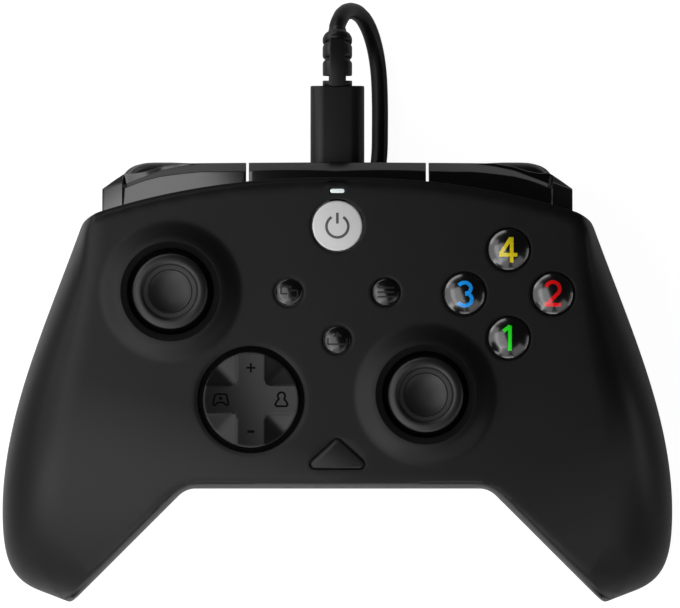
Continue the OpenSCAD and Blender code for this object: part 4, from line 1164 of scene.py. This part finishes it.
# Distance from the plug and radius
BOOT = [(0, 2.9), (0.0, 3.3), (0.12, 3.4), (1.08, 3.4), (1.2, 3.3), (1.22, 2.0), (2.2, 2.0), (2.24, 3.1),
        (2.4, 3.38), (5.1, 3.4), (5.4, 3.3), (5.75, 3.02), (5.85, 2.75), (6.15, 2.75), (6.25, 3.05),
        (6.6, 3.33), (6.9, 3.4), (8.9, 3.4), (9.2, 3.3), (9.45, 3.0), (9.55, 2.75), (9.8, 2.75),
        (9.9, 3.05), (10.1, 3.3), (10.4, 3.4), (11.2, 3.38), (11.8, 3.1), (12.2, 2.6), (12.35, 2.15),
        (BOOT_LENGTH, 2.05), (BOOT_LENGTH + 0.02, 1.7)]


def boot_section(q, s):
    """Points (across, up) as a section of the boot at distance s from the plug."""
    a = max(0, s - STRAIGHT) / BEND_R
    y = PLUG_END + s if s < STRAIGHT else BEND_Y + BEND_R * math.sin(a)
    up = np.array((0, math.sin(a), math.cos(a)))
    centre = np.array((0, y, PORT_Z - BEND_R + BEND_R * math.cos(a)))
    return (centre + q[:, :1] * np.array((1.0, 0, 0)) + q[:, 1:] * up)[::-1]


def boot():
    """The ribbed boot, with the spine along its upper and lower side."""
    sections = [boot_section(ring((0, 0), r, 56), min(s, BOOT_LENGTH)) for s, r in BOOT]
    bar = rounded([(-1.8, -2.9), (1.8, -2.9), (1.8, 3.46), (-1.8, 3.46)], 0.3, 3)
    spine = [boot_section(bar, s) for s in np.linspace(0.2, 9.7, 24)]
    return join(loft(sections), loft(spine))


boot_piece = add("lead_boot_relief", boot(), SATIN, "housing", "lead_black", "lead_boot", sharp=40)


def tie_band():
    """A flat band round one side of the coil."""
    x0, x1 = COIL_AT[0] + COIL_IN - CORD_R - 1.2, COIL_AT[0] + COIL_OUT + CORD_R + 0.4
    z1 = COIL_Z + (LAYERS - 1) * PITCH + CORD_R + 0.2
    outer = rounded([(x0 - 0.6, 0), (x1 + 0.6, 0), (x1 + 0.6, z1 + 0.6), (x0 - 0.6, z1 + 0.6)], 2.0, 6)
    inner = rounded([(x0, 0.5), (x1, 0.5), (x1, z1), (x0, z1)], 1.7, 6)
    ys = COIL_AT[1] - 4, COIL_AT[1] + 4
    k = len(outer)
    rings = [across_y(p, y) for p, y in ((outer, ys[0]), (outer, ys[1]), (inner, ys[1]), (inner, ys[0]))]
    faces = []
    for r in range(4):
        a, b = r * k, (r + 1) % 4 * k
        faces += [[a + j, a + (j + 1) % k, b + (j + 1) % k, b + j] for j in range(k)]
    return np.vstack(rings), faces


tie = add("lead_tie_band", tie_band(), SATIN, "housing", "lead_black", "lead_tie")


def eased_block(x0, x1, hy, hz, r, e):
    """A block along X with rounded corners r and eased ends e."""
    secs = []
    f = 0.3 * e
    for x, d in ((x0, e), (x0 + f, f), (x0 + e, 0), (x1 - e, 0), (x1 - f, f), (x1, e)):
        y, z = hy - d, hz - d
        secs.append(across_x(rounded([(-y, -z), (y, -z), (y, z), (-y, z)], r, 4), x))
    return loft(secs)


def far_plug():
    """Grip, metal sleeve and tongue of the plug at the lead's far end."""
    grip = join(eased_block(-14.5, -2, 7.4, 3.3, 1.2, 0.5), eased_block(-2.4, 0, 4, 3, 1.5, 0.4))
    x0, x1, w, h, t = -26.3, -14, 6.0, 2.25, 0.3
    metal = join(box((x0, -w, -h), (x1, w, -h + t)), box((x0, -w, h - t), (x1, w, h)),
                 box((x0, -w, -h), (x1, -w + t, h)), box((x0, w - t, -h), (x1, w, h)),
                 box((-17.5, -w + t, -h + t), (x1, w - t, h - t)))
    tongue = box((-25.9, -5.6, -1.9), (x1, 5.6, -0.1))
    return [moved(part, (-36.6, 18.2, 3.4)) for part in (grip, metal, tongue)]


grip, metal, tongue = far_plug()
far = add("far_plug_grip", grip, SATIN, "housing", "lead_black", "far_plug", sharp=40)
far_metal = add("far_plug_metal", metal, STEEL, "housing", "lead_black")
far_tongue = add("far_plug_tongue", tongue, SATIN, "housing", "lead_black")


# Stage, light and camera

FLOOR_GLOW, FLOOR_SHADE = 0.96, 0.16


def pale_floor(name, bounce, mirrored):
    """White with the shadow in the picture; gloss sees a share of that white, else the floor as lit."""
    m = bpy.data.materials.new(name)
    m.use_nodes = True
    t = m.node_tree
    t.nodes.remove(t.nodes["Principled BSDF"])

    def math_node(operation, a, b):
        n = t.nodes.new("ShaderNodeMath")
        n.operation = operation
        t.links.new(a, n.inputs[0])
        if isinstance(b, float):
            n.inputs[1].default_value = b
        else:
            t.links.new(b, n.inputs[1])
        return n.outputs[0]

    ray = t.nodes.new("ShaderNodeLightPath").outputs
    gloss = math_node("MAXIMUM", ray["Is Glossy Ray"], ray["Is Transmission Ray"])
    seen = math_node("MAXIMUM", ray["Is Camera Ray"], math_node("MULTIPLY", gloss, mirrored))
    plain = t.nodes.new("ShaderNodeBsdfDiffuse")
    put(plain, "Color", (bounce, bounce, bounce, 1))
    shade = t.nodes.new("ShaderNodeBsdfDiffuse")
    put(shade, "Color", (FLOOR_SHADE, FLOOR_SHADE, FLOOR_SHADE, 1))
    glow = t.nodes.new("ShaderNodeEmission")
    put(glow, "Strength", FLOOR_GLOW)
    lit = t.nodes.new("ShaderNodeAddShader")
    t.links.new(shade.outputs[0], lit.inputs[0])
    t.links.new(glow.outputs[0], lit.inputs[1])
    both = t.nodes.new("ShaderNodeMixShader")
    t.links.new(seen, both.inputs["Fac"])
    t.links.new(plain.outputs[0], both.inputs[1])
    t.links.new(lit.outputs[0], both.inputs[2])
    t.links.new(both.outputs[0], t.nodes["Material Output"].inputs["Surface"])
    return m


def plane(name, x0, x1, y0, y1, z, mat):
    me = bpy.data.meshes.new(name)
    me.from_pydata([(x0, y0, z), (x1, y0, z), (x1, y1, z), (x0, y1, z)], [], [[0, 1, 2, 3]])
    me.materials.append(mat)
    o = bpy.data.objects.new(name, me)
    scene.collection.objects.link(o)
    return o


sheet = plane("sheet", -0.1, 0.1, -0.07, 0.2, 0, pale_floor("near_floor", 0.7, 0.05))
ground = plane("ground", -6, 6, -6, 6, -0.0003, pale_floor("far_floor", 0.28, 0.05))

world = bpy.data.worlds.new("studio")
scene.world = world
world.use_nodes = True
sky = world.node_tree
put(sky.nodes["Background"], "Color", (0.03, 0.03, 0.03, 1))
backdrop = sky.nodes.new("ShaderNodeBackground")
put(backdrop, "Color", (1, 1, 1, 1))
which = sky.nodes.new("ShaderNodeMixShader")
sky.links.new(sky.nodes.new("ShaderNodeLightPath").outputs["Is Camera Ray"], which.inputs["Fac"])
sky.links.new(sky.nodes["Background"].outputs[0], which.inputs[1])
sky.links.new(backdrop.outputs[0], which.inputs[2])
sky.links.new(which.outputs[0], sky.nodes["World Output"].inputs["Surface"])
AIM = (0, 0.01, 0.04)


def softbox(name, azimuth, polar, distance, w, h, radiance):
    """A rectangle light aimed at the pad; azimuth from +X, polar angle from straight up, sizes in metres."""
    a, p = math.radians(azimuth), math.radians(polar)
    d = Vector((math.sin(p) * math.cos(a), math.sin(p) * math.sin(a), math.cos(p)))
    l = bpy.data.lights.new(name, "AREA")
    l.shape = "RECTANGLE"
    l.size, l.size_y = w, h
    l.energy = radiance * math.pi * w * h
    o = bpy.data.objects.new(name, l)
    scene.collection.objects.link(o)
    o.location = Vector(AIM) + d * distance
    o.rotation_euler = d.to_track_quat("Z", "Y").to_euler()
    o.visible_camera = False


softbox("main_box", 200, 26, 0.3, 0.4, 0.25, 2.1)
softbox("side_box", 190, 62, 0.4, 0.9, 0.4, 1.4)
softbox("lower_box", 258, 52, 0.3, 0.2, 0.2, 1.25)
softbox("low_left_box", 230, 71, 0.3, 0.15, 0.15, 2.3)
softbox("front_box", 270, 86, 1.0, 0.6, 0.3, 4.3)
softbox("right_box", 310, 62, 0.8, 0.6, 0.45, 0.95)
softbox("low_right_box", 345, 86, 1.0, 0.7, 0.3, 2.4)
softbox("back_left_box", 129, 82, 1.2, 1.41, 0.4, 3.1)

cam = bpy.data.cameras.new("camera")
camera = bpy.data.objects.new("camera", cam)
scene.collection.objects.link(camera)
DISTANCE, VIEW_W, VIEW_X, VIEW_Y, VIEW_Z = 6000.0, 156.06, 0.6, 18.1, 30.0
camera.location = (VIEW_X * MM, VIEW_Y * MM, (VIEW_Z + DISTANCE) * MM)
camera.rotation_euler = (0, 0, 0)
cam.sensor_fit = "HORIZONTAL"
cam.sensor_width = 36
cam.lens = 36 * DISTANCE / VIEW_W
cam.clip_end = 20
scene.camera = camera
scene.view_settings.view_transform = "Standard"

bpy.context.view_layer.update()
